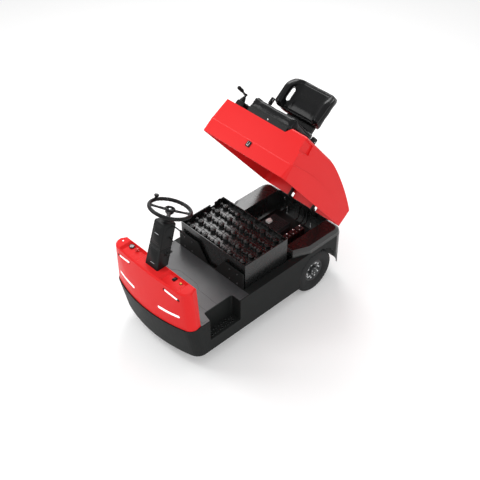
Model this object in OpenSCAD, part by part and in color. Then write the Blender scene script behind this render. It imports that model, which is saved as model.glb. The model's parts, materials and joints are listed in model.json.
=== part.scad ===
// Seat-type electric tow tractor (airport baggage tug) with its seat hood tilted open.
// Millimetres. X points forward, Y to the driver's left, Z up from the floor.

/* [Body] */
// Width over the side skirts
body_w = 930; // [890:2:970]
// Height of the deck and of the floor mat's top above the ground
deck_z = 472; // [455:1:500]
// Height of the skirts' lower edge above the ground
skirt_z = 137; // [120:1:150]
// Front of the bumper's upper edge, ahead of the rear axle
nose_x = 1516; // [1480:2:1560]
// How far the bumper's lower edge lies behind its upper edge
nose_rake = 72; // [40:1:90]
// Radius of the bumper's front in plan
nose_r = 1310; // [1100:10:1600]
// Radius of the bumper's corners in plan
nose_corner_r = 95; // [70:1:105]
// Length of the bumper's sides, from the lower front edge
bumper_l = 174; // [150:1:190]
// Rear face of the rear wall, behind the rear axle
tail_x = 336; // [328:1:350]
// Radius of the rear corners in plan
tail_corner_r = 80; // [60:1:90]
// Thickness of skirts, floor and bumper plate
plate_t = 8; // [6:1:10]
// Thickness of the rubber floor mat
mat_t = 6; // [4:1:8]
// Place of the rear axle in the part's frame
rear_axle_x = -524; // [-600:1:-400]

/* [Step] */
// Rear wall of the step notch, ahead of the rear axle
step_x0 = 902; // [890:1:930]
// Front wall of the step notch at its inner end
step_x1 = 1206; // [1150:1:1220]
// Extra length of the notch at its outer end
step_flare = 27; // [0:1:35]
// Depth of the notch, measured in from the skirt
step_d = 106; // [90:1:120]
// Height of the step tread above the ground
step_z = 259; // [240:1:290]
// Radius of the drain holes in the tread
step_hole_r = 9; // [6:0.5:11]
// Radius of the notch's inner corners in plan
step_corner_r = 18; // [8:1:24]

/* [Wheels] */
// Diameter of the rear tyres
rear_tyre_d = 415; // [405:1:425]
// Section width of the rear tyres
rear_tyre_w = 112; // [105:1:118]
// Diameter over the rims of the rear wheels
rear_rim_d = 230; // [220:1:240]
// Gap between the rear tyre's outer face and the skirt's outer face
rear_tyre_in = 7; // [3:1:20]
// Diameter of the front tyre
front_tyre_d = 310; // [290:1:330]
// Section width of the front tyre
front_tyre_w = 95; // [85:1:100]
// Distance between the front and rear axles
wheelbase = 1140; // [1110:2:1170]
// Radius of the rear stub shafts
stub_r = 22; // [20:0.5:25]
// Radius of the kingpin
kingpin_r = 25; // [20:0.5:30]
// Radius of the front axle pin
front_pin_r = 12.5; // [10:0.5:15]
// Radial running clearance of shafts in their bores
run_fit = 0.05; // [0.03:0.01:0.08]

/* [Battery] */
// Front face of the battery, ahead of the rear axle
battery_x1 = 777; // [770:1:780]
// Length of the battery case
battery_l = 486; // [470:2:490]
// Distance of the battery's sides from the skirts' outer faces
battery_side = 78; // [72:1:95]
// Height of the battery's rim above the ground
battery_z1 = 716; // [690:1:725]
// Wall of the battery case
battery_t = 6; // [4:1:8]
// Cells along and across the case
cells_n = 5; // [4:1:6]
// Depth of the cell tops below the rim
cell_drop = 54; // [45:1:70]
// Top of the plate in front of the battery
panel_z1 = 637; // [600:1:660]
// Half-width of the plate's cut-out at its top
panel_cut_top = 158; // [120:1:180]
// Half-width of the plate's cut-out at its bottom
panel_cut_low = 44; // [30:1:60]

/* [Rear end] */
// Height of the fender tops above the ground
fender_z = 522; // [512:1:526]
// Width of each fender
fender_w = 172; // [160:1:180]
// Front end of the fenders, ahead of the rear axle
fender_x1 = 238; // [225:1:245]
// Width of the rounded fender edge
fender_round = 36; // [28:1:50]
// Height of the rear wall between the fenders
rear_wall_z = 506; // [490:1:512]
// Radius of the tow pin's bore
tow_bore_r = 16; // [12:0.5:20]
// Thickness of the tow coupling's jaw plates
tow_jaw_t = 16; // [12:1:20]
// Clear height between the jaw plates
tow_gap = 44; // [36:1:50]

/* [Cowl and steering] */
// Height of the cowl's top above the ground
cowl_z = 866; // [840:1:890]
// Front of the cowl's top, ahead of the rear axle
cowl_top_x = 1477; // [1440:1:1490]
// Rear face of the cowl, ahead of the rear axle
cowl_back_x = 1322; // [1310:1:1330]
// Distance of the cowl's foot from the skirts' outer faces
cowl_inset = 13; // [8:1:25]
// How much nearer the middle the cowl's top lies than its foot
cowl_taper = 38; // [20:1:50]
// Extra half-width of the cowl's front over its rear at the top
cowl_flare = 26; // [10:1:30]
// Radius of the cowl's corners in plan
cowl_corner_r = 74; // [50:1:90]
// Wall of the cowl
cowl_t = 6; // [4:1:8]
// Depth of the two dash pockets in the cowl's top
dash_d = 20; // [10:1:24]
// Lean of the steering column back from upright, degrees
column_lean = 19.5; // [14:0.5:24]
// Steering wheel centre, ahead of the rear axle
wheel_x = 1196; // [1180:1:1210]
// Height of the steering wheel's centre
wheel_z = 1319; // [1290:1:1340]
// Outer diameter of the steering wheel
wheel_d = 352; // [330:2:380]
// Radius of the steering wheel's rim section
wheel_rim_r = 13; // [11:0.5:15]
// Radius of the steering shaft
shaft_r = 16; // [12:0.5:18]

/* [Hood] */
// Angle at which the hood stands open, degrees
hood_open = 51; // [0:1:55]
// Height of the hood's lower edge when closed
hood_z0 = 541; // [538:1:546]
// Front of the hood's lower edge when closed
hood_x1 = 897; // [880:1:910]
// Height of the hood's shoulders when closed
hood_top_z = 913; // [905:1:920]
// Height of the seat pan's floor when closed
seat_pan_z = 861; // [850:1:868]
// Lean of each hood side from foot to shoulder
hood_lean = 37; // [25:1:45]
// Wall of the hood
hood_t = 7; // [5:1:9]
// Hinge pin, behind the rear axle
hinge_x = 294; // [290:1:298]
// Height of the hinge pin
hinge_z = 535; // [532:1:537]
// Distance of each hinge arm from the middle
hinge_y = 138; // [120:1:150]
// Radius of the hinge pins
hinge_pin_r = 7; // [6:0.5:8]

/* [Seat] */
// Width of the seat cushion
seat_w = 480; // [450:2:484]
// Front of the cushion with the hood closed
seat_x1 = 868; // [850:1:875]
// Height of the cushion's top with the hood closed
seat_z1 = 988; // [970:1:1000]
// Thickness of the cushion
cushion_t = 88; // [76:1:94]
// Height of the backrest's top with the hood closed
back_z1 = 1371; // [1340:1:1390]
// Width of the backrest
back_w = 460; // [440:2:480]
// Thickness of the backrest's shell
back_t = 58; // [48:1:66]
// Rear face of the backrest, ahead of the rear axle
back_x0 = 462; // [450:1:470]
// How far the backrest's wings reach forward
back_wing = 138; // [110:1:150]
// Length of each slot in the backrest between its round ends
back_slot_l = 80; // [60:1:90]
// Width of each slot in the backrest
back_slot_w = 44; // [30:1:48]
// Half-width of the seat pan's floor
pan_hw = 219; // [214:1:224]
// Gap between the cushion and the belt parts beside it
belt_gap = 12; // [8:1:20]
// Place of the belt parts, ahead of the rear axle
belt_x = 591; // [560:1:620]
// Rear end of the lever console, ahead of the rear axle
console_x = 690; // [670:1:710]
// Distance of the lever console from the hood's foot
console_in = 66; // [55:1:80]

/* [Hidden] */
$fn = 48;
e = 0.01;
hw = body_w / 2;
in_y = hw - plate_t;
plate_z1 = deck_z - mat_t;
plate_z0 = plate_z1 - plate_t;
nose_low_x = nose_x - nose_rake;
bumper_x0 = nose_low_x - bumper_l;
step_y = hw - step_d;
step_wall = plate_t - 2;
pan_z1 = skirt_z + plate_t;
panel_x1 = battery_x1 + 3 * plate_t;
panel_x0 = panel_x1 - plate_t;
battery_w = body_w - 2 * battery_side;
battery_x0 = battery_x1 - battery_l;
partition_x = battery_x0 - plate_t;
cell_z = battery_z1 - cell_drop;
fender_y = hw - fender_w;
rear_r = rear_tyre_d / 2;
rear_y = hw - rear_tyre_in - rear_tyre_w / 2;
front_r = front_tyre_d / 2;
arch_top = rear_tyre_d + 13;
fender_nose_in = 59;
fender_taper_x = fender_x1 - 160;
tail_in = tail_x - plate_t - 2;
arch_front = rear_r + 6;
arch_rear = rear_r + 90;
arch_pts = [[arch_front, 0], [arch_front - 6, skirt_z], [arch_front - 33, arch_top - 78],
    [arch_front - 134, arch_top], [125 - arch_front, arch_top], [125 - arch_rear, arch_top - 40],
    [33 - arch_rear, arch_top - 156], [4 - arch_rear, skirt_z], [-arch_rear, 0]];
hood_tail_gap = 28;
hood_x0 = -(tail_x - hood_tail_gap);
pan_lean = 0.78;
back_x1 = back_x0 + back_wing;
back_z0 = seat_z1 + 67;
back_bend_r = 80;
back_slot_x = 68;
back_slot_in = 45;
back_slot_z = 148;
back_slot_turn = 33;
hood_step_z = hood_z0 + 120;
hood_edge_r = 24;
corner_flat_d = 13;
hinge_ear_r = hinge_pin_r + 6;
hinge_arm_t = 12;
hinge_gap = 2;
hinge_ear_t = 8;
seat_fit = 0.3;
bay_rail_z0 = rear_r + 54;
bay_rail_z1 = bay_rail_z0 + 50;
bay_rail_in = 64;
bay_rail_y = fender_y - bay_rail_in;
bay_rail_t = 20;
shelf_z = bay_rail_z1 + plate_t;
wheel_in = rear_y - rear_tyre_w / 2;
axle_end_y = wheel_in - 6;
rim_h = rear_tyre_w * 0.36;
stub_bore_end = rim_h * 0.7;
stub_end_y = rear_y + stub_bore_end - 1;
crown_z0 = front_tyre_d + 20;
crown_t = 15;
head_z0 = crown_z0 + crown_t + 6;
leg_in = front_tyre_w / 2 + 7;
leg_t = 14;
column_top_s = 95;
cowl_low_hw = hw - cowl_inset;
cowl_top_hw = cowl_low_hw - cowl_taper;
tow_z0 = 262;
tow_x = tail_x + plate_t + 4 + 70;
tow_r = 45;
lamp_h = 25;
lamp_set_back = 3;
spoke_turns = [42, 132, 312];
spoke_w = 32;
lamp_pocket_t = 8;
dash_y0 = 128;
dash_y1 = 350;

// Points on an arc in a plane
function arc(cx, cy, r, a0, a1, n) =
    [for (i = [0:n]) [cx + r * cos(a0 + (a1 - a0) * i / n), cy + r * sin(a0 + (a1 - a0) * i / n)]];

// Points on a cubic curve through its end points
function curve(p, n) = [for (i = [0:n]) let (t = i / n, u = 1 - t)
    u * u * u * p[0] + 3 * u * u * t * p[1] + 3 * u * t * t * p[2] + t * t * t * p[3]];

// Rectangle in plan with its own rear and front corner radius
function round_plan(x0, x1, h, r0, r1) = concat(
    arc(x1 - r1, h - r1, r1, 0, 90, 8), arc(x0 + r0, h - r0, r0, 90, 180, 8),
    arc(x0 + r0, r0 - h, r0, 180, 270, 8), arc(x1 - r1, r1 - h, r1, 270, 360, 8));

// Plan of the rounded front: a wide arc, two corners and straight sides back to x0,
// where the half-width may be smaller
function nose_plan(x1, x0, h, big, rc, back_h = 0) =
    let (cx = x1 - big + sqrt(pow(big - rc, 2) - pow(h - rc, 2)),
        a = asin((h - rc) / (big - rc)))
    let (b = back_h > 0 ? back_h : h)
    concat([[x0, -b]], arc(cx, rc - h, rc, -90, -a, 6), arc(x1 - big, 0, big, -a, a, 16),
        arc(cx, h - rc, rc, a, 90, 6), [[x0, b]]);

// Frame placed at the rear axle
module from_axle() { translate([rear_axle_x, 0, 0]) children(); }

// Outline drawn in X and Z, as thick as t, from y inwards to y - t
module side_plate(y, t) { translate([0, y, 0]) rotate([90, 0, 0]) linear_extrude(t) children(); }

// Outline drawn in Y and Z, from x0 forward to x1
module cross_plate(x0, x1) {
    translate([x0, 0, 0]) rotate([90, 0, 90]) linear_extrude(x1 - x0) children();
}

// Thin slice of an outline, one level of a blended shell
module slice(z, pts) { translate([0, 0, z]) linear_extrude(0.1) polygon(pts); }

module both_sides() {
    children();
    mirror([0, 1, 0]) children();
}

// Hood parts are drawn closed and tilted open about the hinge pins
module tilted() {
    translate([-hinge_x, 0, hinge_z]) rotate([0, -hood_open, 0]) translate([hinge_x, 0, -hinge_z])
        children();
}

// Plan of the step notch, grown all round
module step_plan(grow) {
    r = step_corner_r + grow;
    turn = atan2(step_flare, step_d + grow);
    front_x = step_x1 + grow + r * tan(turn) - r / cos(turn);
    polygon(concat(arc(step_x0 - grow + r, step_y - grow + r, r, 180, 270, 6),
        arc(front_x, step_y - grow + r, r, 270, 360 - turn, 6),
        [[step_x1 + step_flare + grow, hw], [step_x0 - grow, hw]]));
}

module wheel_arch() { polygon(arch_pts); }

module skirt() {
    difference() {
        union() {
            side_plate(hw, plate_t) polygon([[tail_corner_r - tail_x, deck_z], [bumper_x0, deck_z],
                [bumper_x0, skirt_z], [tail_corner_r - tail_x, skirt_z]]);
            translate([fender_x1 - 120, battery_w / 2 + 3, deck_z - plate_t])
                cube([panel_x1 - fender_x1 + 120, in_y - battery_w / 2 - 3, plate_t]);
        }
        side_plate(hw + e, plate_t + 2 * e) wheel_arch();
        translate([0, 0, step_z]) linear_extrude(deck_z) step_plan(0);
    }
}

module skirt_left() { color("#2b2d2d") from_axle() skirt(); }

module skirt_right() { color("#2b2d2d") from_axle() mirror([0, 1, 0]) skirt(); }

module bumper_front() {
    color("#2b2d2d") from_axle() difference() {
        hull() {
            slice(skirt_z, nose_plan(nose_low_x, bumper_x0, hw, nose_r, nose_corner_r));
            slice(deck_z - 0.1, nose_plan(nose_x, bumper_x0, hw, nose_r, nose_corner_r));
        }
        hull() {
            slice(skirt_z - 1, nose_plan(nose_low_x - plate_t, bumper_x0 - 1, in_y,
                nose_r - plate_t, nose_corner_r - plate_t));
            slice(plate_z1 - 0.1, nose_plan(nose_x - plate_t, bumper_x0 - 1, in_y,
                nose_r - plate_t, nose_corner_r - plate_t));
        }
        translate([bumper_x0 - 1, -in_y, plate_z1 - 1])
            cube([cowl_back_x - bumper_x0 - 3, 2 * in_y, plate_t * 2]);
    }
}

module floor_plate() {
    color("#2b2d2d") from_axle() translate([0, 0, plate_z0]) linear_extrude(plate_t) difference() {
        polygon(nose_plan(nose_x - 2 * plate_t, panel_x1, in_y, nose_r - plate_t,
            nose_corner_r - plate_t));
        both_sides() step_plan(0);
    }
}

module floor_mat() {
    color("#6c6d71") from_axle() translate([0, 0, plate_z1]) linear_extrude(mat_t) difference() {
        translate([panel_x1, -in_y]) square([cowl_back_x - 4 - panel_x1, 2 * in_y]);
        both_sides() step_plan(0);
    }
}

module step_box() {
    tread_t = step_wall;
    intersection() {
        translate([step_x0 - 100, step_y - 100, 0]) cube([step_x1, step_d + 100 - plate_t, plate_z0]);
        union() {
            translate([0, 0, step_z - tread_t]) linear_extrude(plate_z0 - step_z + tread_t)
                difference() {
                    step_plan(step_wall);
                    step_plan(0);
                }
            difference() {
                translate([0, 0, step_z - tread_t]) linear_extrude(tread_t) step_plan(step_wall / 2);
                for (i = [0:4], j = [0:1])
                    translate([step_x0 + (i + 0.7 + 0.3 * j) * (step_x1 - step_x0) / 5.4,
                        step_y + 30 + 40 * j, step_z - tread_t - 1])
                        cylinder(r = step_hole_r, h = tread_t + 2);
            }
        }
    }
}

module step_left() { color("#3a3c3d") from_axle() step_box(); }

module step_right() { color("#3a3c3d") from_axle() mirror([0, 1, 0]) step_box(); }

module battery_pan() {
    color("#252727") from_axle() {
        translate([partition_x - plate_t, -in_y, skirt_z])
            cube([panel_x1 - partition_x + plate_t, 2 * in_y, plate_t]);
        translate([partition_x - plate_t, -fender_y, pan_z1 - 1])
            cube([plate_t, 2 * fender_y, rear_wall_z - pan_z1]);
    }
}

module battery_panel() {
    color("#2f3131") from_axle() cross_plate(panel_x0, panel_x1) difference() {
        translate([-battery_w / 2, pan_z1]) square([battery_w, panel_z1 - pan_z1]);
        polygon([[-panel_cut_top, panel_z1 + 1], [-panel_cut_low, deck_z + 5],
            [panel_cut_low, deck_z + 5], [panel_cut_top, panel_z1 + 1]]);
    }
}

module battery_case() {
    notch_l = 51;
    notch_h = 28;
    color("#232525") from_axle() difference() {
        translate([battery_x0, -battery_w / 2, pan_z1])
            cube([battery_l, battery_w, battery_z1 - pan_z1]);
        translate([battery_x0 + battery_t, battery_t - battery_w / 2, pan_z1 + battery_t])
            cube([battery_l - 2 * battery_t, battery_w - 2 * battery_t, battery_z1]);
        translate([battery_x0 + battery_l * 0.22, -battery_w / 2 - 1, battery_z1 - notch_h])
            cube([notch_l, battery_t + 2, notch_h + 1]);
    }
}

module battery_cells() {
    cell_l = (battery_l - 2 * battery_t) / cells_n;
    cell_w = (battery_w - 2 * battery_t) / cells_n;
    cap_r = cell_l * 0.26;
    groove = 4;
    color("#1d1f1f") from_axle() translate([battery_x0 + battery_t, battery_t - battery_w / 2, 0]) {
        translate([0, 0, pan_z1 + battery_t])
            cube([cell_l * cells_n, cell_w * cells_n, cell_z - pan_z1 - battery_t - groove]);
        for (i = [0:cells_n - 1], j = [0:cells_n - 1])
            translate([cell_l * (i + 0.5), cell_w * (j + 0.5), cell_z - groove - 1]) {
                translate([2 - cell_l / 2, 2 - cell_w / 2, 0])
                    cube([cell_l - 4, cell_w - 4, groove + 1]);
                cylinder(r = cap_r, h = groove + 26);
                for (s = [-1, 1])
                    translate([0, s * cell_w * 0.33, 0]) cylinder(r = cap_r * 0.45, h = groove + 21);
            }
    }
}

function fender_plan(i) = concat(
    [[fender_x1 - i, fender_y], [fender_x1 - i, hw - fender_nose_in - i], [fender_taper_x - i / 2, hw - i]],
    arc(tail_corner_r - tail_x, hw - tail_corner_r, tail_corner_r - i, 90, 180, 6),
    [[i - tail_x, fender_y]]);

module fender_form(i, dz) {
    hull() {
        slice(deck_z - dz, fender_plan(i));
        slice(deck_z + (fender_z - deck_z) * 0.6 - dz, fender_plan(i + fender_round * 0.2));
        slice(fender_z - 0.1 - dz, fender_plan(i + fender_round));
    }
}

module fender() {
    wall = plate_t - 2;
    difference() {
        fender_form(0, 0);
        translate([0, wall, 0]) fender_form(wall, wall);
        side_plate(hw + 1, hw - fender_y - wall + 1) polygon([[-tail_x + wall, 0],
            [fender_x1 - wall, 0], [fender_x1 - wall, deck_z + 1], [-tail_x + wall, deck_z + 1]]);
    }
    translate([-tail_in, fender_y, bay_rail_z0]) cube([tail_in + partition_x - plate_t, wall,
        deck_z - bay_rail_z0 + 1]);
}

module fender_left() { color("#2b2d2d") from_axle() fender(); }

module fender_right() { color("#2b2d2d") from_axle() mirror([0, 1, 0]) fender(); }

module rear_wall() {
    t = tail_x - tail_in;
    color("#2b2d2d") from_axle() {
        difference() {
            translate([0, 0, skirt_z]) linear_extrude(deck_z - skirt_z) difference() {
                polygon(round_plan(-tail_x, 0, hw, tail_corner_r, 1));
                polygon(round_plan(-tail_in, 1, hw - t, tail_corner_r - t, 1));
                translate([tail_corner_r - tail_x, -hw]) square([tail_x, body_w]);
            }
            side_plate(hw + 1, t + tail_corner_r) wheel_arch();
            mirror([0, 1, 0]) side_plate(hw + 1, t + tail_corner_r) wheel_arch();
        }
        translate([-tail_x, -fender_y + e, deck_z - 1])
            cube([t, 2 * fender_y - 2 * e, rear_wall_z - deck_z + 1]);
    }
}

module hinge_brackets() {
    ear_d = hinge_arm_t / 2 + hinge_gap;
    base_h = 70;
    color("#2a2c2c") from_axle() both_sides() translate([0, hinge_y, 0]) {
        for (s = [0, 1]) mirror([0, s, 0]) side_plate(ear_d + hinge_ear_t, hinge_ear_t) {
            translate([-hinge_x, hinge_z]) circle(r = hinge_ear_r);
            polygon([[-hinge_x - hinge_ear_r, hinge_z], [-tail_in, rear_wall_z + 1],
                [-tail_in, rear_wall_z - base_h], [-hinge_x + hinge_ear_r, rear_wall_z - 10],
                [-hinge_x + hinge_ear_r, hinge_z]]);
        }
        translate([-hinge_x, ear_d + hinge_ear_t, hinge_z]) rotate([90, 0, 0])
            cylinder(r = hinge_pin_r, h = 2 * (ear_d + hinge_ear_t));
    }
}

module bay_rails() {
    color("#252727") from_axle() both_sides()
        translate([-tail_in, bay_rail_y - bay_rail_t / 2, bay_rail_z0])
            cube([tail_in + partition_x - plate_t, bay_rail_t, bay_rail_z1 - bay_rail_z0]);
}

module bay_shelf() {
    color("#303232") from_axle() translate([-tail_in + 40, -fender_y + 14, bay_rail_z1])
        cube([tail_in + 120, 2 * fender_y - 28, plate_t]);
}

module controller() {
    l = 210;
    w = 190;
    base_h = 60;
    fin_h = 40;
    color("#3d4042") from_axle() translate([-130, -170, shelf_z]) {
        cube([l, w, base_h]);
        for (i = [0:10]) translate([0, 4 + i * (w - 14) / 10, base_h - 1]) cube([l, 6, fin_h]);
    }
}

module contactors() {
    size = [58, 62, 92];
    color("#7a2226") from_axle() for (i = [0:2])
        translate([-180 + i * (size[0] + 22), 90, shelf_z]) {
            cube(size);
            translate([size[0] / 2, size[1] / 2, size[2] - 1]) cylinder(r = 12, h = 16);
        }
}

module drive_axle() {
    tube_r = 48;
    pad = [120, bay_rail_t + 10, bay_rail_z0 - rear_r];
    box_l = 160;
    box_h = 200;
    color("#37393a") from_axle() {
        translate([0, axle_end_y, rear_r]) rotate([90, 0, 0])
            cylinder(r = tube_r, h = 2 * axle_end_y);
        translate([0, stub_end_y, rear_r]) rotate([90, 0, 0]) cylinder(r = stub_r, h = 2 * stub_end_y);
        both_sides() translate([-pad[0] / 2, bay_rail_y - pad[1] / 2, rear_r]) cube(pad);
        translate([60 - box_l, -box_l * 0.75, rear_r - box_h / 2]) cube([box_l, box_l, box_h]);
    }
}

module drive_motor() {
    motor_r = 92;
    color("#2e3032") from_axle() translate([60, -40, rear_r]) rotate([0, 90, 0])
        cylinder(r = motor_r, h = partition_x - plate_t - 60 - 6);
}

module tow_coupling() {
    plate_w = 150;
    pitch = tow_gap + tow_jaw_t;
    color("#303233") from_axle() {
        translate([-tail_x - plate_t - 4, -plate_w / 2, tow_z0 - 22])
            cube([plate_t + 4, plate_w, 2 * pitch + tow_jaw_t + 44]);
        for (i = [0:2]) translate([0, 0, tow_z0 + i * pitch]) difference() {
            union() {
                translate([-tow_x, -tow_r, 0]) cube([tow_x - tail_x - plate_t, 2 * tow_r, tow_jaw_t]);
                translate([-tow_x, 0, 0]) cylinder(r = tow_r, h = tow_jaw_t);
            }
            translate([-tow_x, 0, -1]) cylinder(r = tow_bore_r, h = tow_jaw_t + 2);
        }
    }
}

module tail_lamps() {
    lamp = [14, 62, 96];
    color("#b3191c") from_axle() both_sides()
        translate([-tail_x - lamp[0], fender_y, deck_z - lamp[2] - 30]) cube(lamp);
}

module steer_head() {
    color("#303233") from_axle() translate([wheelbase, 0, head_z0]) difference() {
        union() {
            cylinder(r = kingpin_r + 35, h = plate_z0 - head_z0);
            translate([0, 0, plate_z0 - head_z0 - 14]) cylinder(r = kingpin_r + 75, h = 14);
        }
        translate([0, 0, -1]) cylinder(r = kingpin_r + run_fit, h = plate_z0 - head_z0 - 20);
    }
}

module steer_fork() {
    color("#37393a") from_axle() translate([wheelbase, 0, 0]) {
        translate([0, 0, crown_z0]) cylinder(r = kingpin_r, h = plate_z0 - crown_z0 - 30);
        translate([-50, -leg_in - leg_t, crown_z0]) cube([100, 2 * (leg_in + leg_t), crown_t]);
        both_sides() side_plate(leg_in + leg_t, leg_t) {
            translate([0, front_r]) circle(r = front_pin_r + 20);
            translate([-front_pin_r - 20, front_r]) square([2 * front_pin_r + 40, crown_z0 - front_r + 1]);
        }
        translate([0, leg_in + leg_t, front_r]) rotate([90, 0, 0])
            cylinder(r = front_pin_r, h = 2 * (leg_in + leg_t));
    }
}

// Ring turned about the wheel's own axis, which lies along Y
module turned(y, r) { translate([0, y, r]) rotate([90, 0, 0]) rotate_extrude($fn = 72) children(); }

// Half section of a tyre: bead, bulged side and slightly crowned tread
module tyre_section(r, w, bead) {
    s = w * 0.2;
    polygon(concat([[bead, -w * 0.36], [r - s * 1.6, -w / 2]], arc(r - s, s - w / 2, s, -75, -10, 4),
        [[r, 0]], arc(r - s, w / 2 - s, s, 10, 75, 4), [[r - s * 1.6, w / 2], [bead, w * 0.36]]));
}

module front_tyre() {
    color("#26282a") from_axle() translate([wheelbase, 0, 0])
        turned(0, front_r) tyre_section(front_r, front_tyre_w, front_r * 0.62);
}

module front_rim() {
    bead = front_r * 0.62;
    h = front_tyre_w * 0.36;
    hub_h = front_tyre_w / 2;
    hub_r = front_pin_r + 18;
    color("#4a4d4f") from_axle() translate([wheelbase, 0, 0]) turned(0, front_r) polygon([
        [front_pin_r + run_fit, -hub_h], [hub_r, -hub_h], [hub_r, -h * 0.4], [bead - 12, -h * 0.4],
        [bead - 12, -h], [bead, -h], [bead, h], [bead - 12, h], [bead - 12, h * 0.4],
        [hub_r, h * 0.4], [hub_r, hub_h], [front_pin_r + run_fit, hub_h]]);
}

module rear_tyre() {
    turned(rear_y, rear_r) tyre_section(rear_r, rear_tyre_w, rear_rim_d / 2 - 12);
}

// Dished rim with a ring of bolts and a domed hub cap
module rear_rim() {
    bead = rear_rim_d / 2 - 12;
    h = rim_h;
    hub_h = rear_tyre_w * 0.42;
    hub_r = stub_r + 18;
    bolt_n = 10;
    bolt_r = 8;
    turned(rear_y, rear_r) polygon([[0, -hub_h], [hub_r, -hub_h], [hub_r + 4, -h * 0.5],
        [bead - 26, -h * 0.5], [bead - 14, -h], [bead, -h], [bead, h], [bead - 10, h],
        [bead - 10, -h * 0.1], [stub_r + run_fit, -h * 0.1], [stub_r + run_fit, -stub_bore_end], [0, -stub_bore_end]]);
    for (i = [0:bolt_n - 1]) translate([0, rear_y, rear_r]) rotate([0, i * 360 / bolt_n, 0])
        translate([75, h * 0.5 - 1, 0]) rotate([-90, 0, 0]) cylinder(r = bolt_r, h = 12, $fn = 6);
}

module rear_tyre_left() { color("#26282a") from_axle() rear_tyre(); }

module rear_rim_left() { color("#34373a") from_axle() rear_rim(); }

module rear_tyre_right() { color("#26282a") from_axle() mirror([0, 1, 0]) rear_tyre(); }

module rear_rim_right() { color("#34373a") from_axle() mirror([0, 1, 0]) rear_rim(); }

function cowl_plan(k, i) =
    let (b = cowl_low_hw + k * (cowl_top_hw - cowl_low_hw) - i)
    nose_plan(nose_x - 10 + k * (cowl_top_x - nose_x + 10) - i, cowl_back_x + i,
        b + cowl_flare * (0.3 + 0.7 * k), nose_r * (1 + 1.8 * k) - i, cowl_corner_r - i / 2, b);

module cowl_form(i, low, dz) {
    edge = 14;
    hull() {
        slice(deck_z - low, cowl_plan(0, i));
        slice(cowl_z - edge - dz, cowl_plan(0.97, i));
        slice(cowl_z - dz - 0.1, cowl_plan(1, i + edge * 0.7));
    }
}

// Straight bar outline with round ends, from a to b
module bar(a, b, w) {
    d = b - a;
    translate(a) rotate(atan2(d[1], d[0])) {
        translate([0, -w / 2]) square([norm(d), w]);
        circle(d = w);
        translate([norm(d), 0]) circle(d = w);
    }
}

// Outlines of the lower lamps, the upper lamps and the upper lamps' pockets
module low_lamps() { both_y() bar([156, 590], [352, 601], lamp_h); }

module high_lamps() { both_y() bar([222, 802], [340, 786], lamp_h * 0.75); }

module pockets(g) { both_y() bar([212, 805], [360, 784], lamp_h * 1.2 + 2 * g); }

// Wall of the cowl from depth i0 to depth i1, cut by an outline of the front
module front_wall(i0, i1) {
    low = dash_d + cowl_t;
    intersection() {
        difference() {
            cowl_form(i0, 0, i0 < cowl_t ? 0 : low);
            cowl_form(i1, 1, low);
        }
        cross_plate(cowl_back_x + 60, nose_x) children();
    }
}

module both_y() {
    children();
    mirror([1, 0]) children();
}

module dash_pocket() {
    cross_plate(cowl_back_x + 14, cowl_top_x - 22) polygon([[dash_y0 + dash_d, cowl_z - dash_d],
        [dash_y1 - dash_d, cowl_z - dash_d], [dash_y1 + 1, cowl_z + 1], [dash_y0 - 1, cowl_z + 1]]);
}

module cowl() {
    color("#e4292a") from_axle() difference() {
        cowl_form(0, 0, 0);
        cowl_form(cowl_t, 1, dash_d + cowl_t);
        both_sides() dash_pocket();
        cross_plate(cowl_back_x + 60, nose_x) {
            low_lamps();
            pockets(0);
        }
    }
}

module headlamps() {
    color("#f4f6f6") from_axle() {
        front_wall(0, cowl_t) low_lamps();
        front_wall(lamp_set_back, cowl_t) high_lamps();
    }
}

module lamp_pockets() {
    color("#1c1d1e") from_axle() front_wall(cowl_t + seat_fit, cowl_t + lamp_pocket_t) pockets(4);
}

module dash_controls() {
    z = cowl_z - dash_d;
    x = cowl_back_x + 44;
    gauge_r = 22;
    color("#44474a") from_axle() {
        translate([x, gauge_r + dash_d + 6 - dash_y1, z]) cylinder(r = gauge_r, h = 12);
        translate([x, -236, z]) cylinder(r = 13, h = 20);
        translate([x - 20, 207, z]) cube([40, 24, 14]);
        translate([x, 289, z]) cylinder(r = 9, h = 8);
    }
}

// Steering axis: up along the leaning column, from the wheel's centre
module on_column() { translate([wheel_x, 0, wheel_z]) rotate([0, -column_lean, 0]) children(); }

module steering_column() {
    base_x = wheel_x + (wheel_z - cowl_z) * tan(column_lean);
    base = [114, 148];
    top = [128, 122];
    top_back = 43;
    stalk_l = 105;
    color("#2b2d2d") from_axle() {
        difference() {
            union() {
                hull() {
                    translate([base_x - base[0] / 2 + 6, -base[1] / 2, cowl_z]) cube([base[0], base[1], 0.1]);
                    on_column() translate([-top_back, -top[1] / 2, -column_top_s])
                        cube([top[0], top[1], 0.1]);
                }
                on_column() translate([0, 0, -column_top_s - 1]) cylinder(r = shaft_r + 12, h = 22);
            }
            on_column() translate([0, 0, -column_top_s - 60])
                cylinder(r = shaft_r + run_fit, h = 100);
        }
        on_column() translate([-10, top[1] / 2 - 6, -column_top_s - 28]) rotate([-80, 0, 20]) {
            cylinder(r = 6, h = stalk_l);
            translate([0, 0, stalk_l]) cylinder(r = 10, h = 30);
        }
    }
}

module pedals() {
    pad = [12, 78, 110];
    color("#232525") from_axle() for (y = [-60, -190]) {
        translate([cowl_back_x - 92, y - pad[1] / 2, deck_z]) cube([70, pad[1], 26]);
        translate([cowl_back_x - 88, y - pad[1] / 2, deck_z + 18]) rotate([0, 38, 0]) cube(pad);
    }
}

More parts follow.
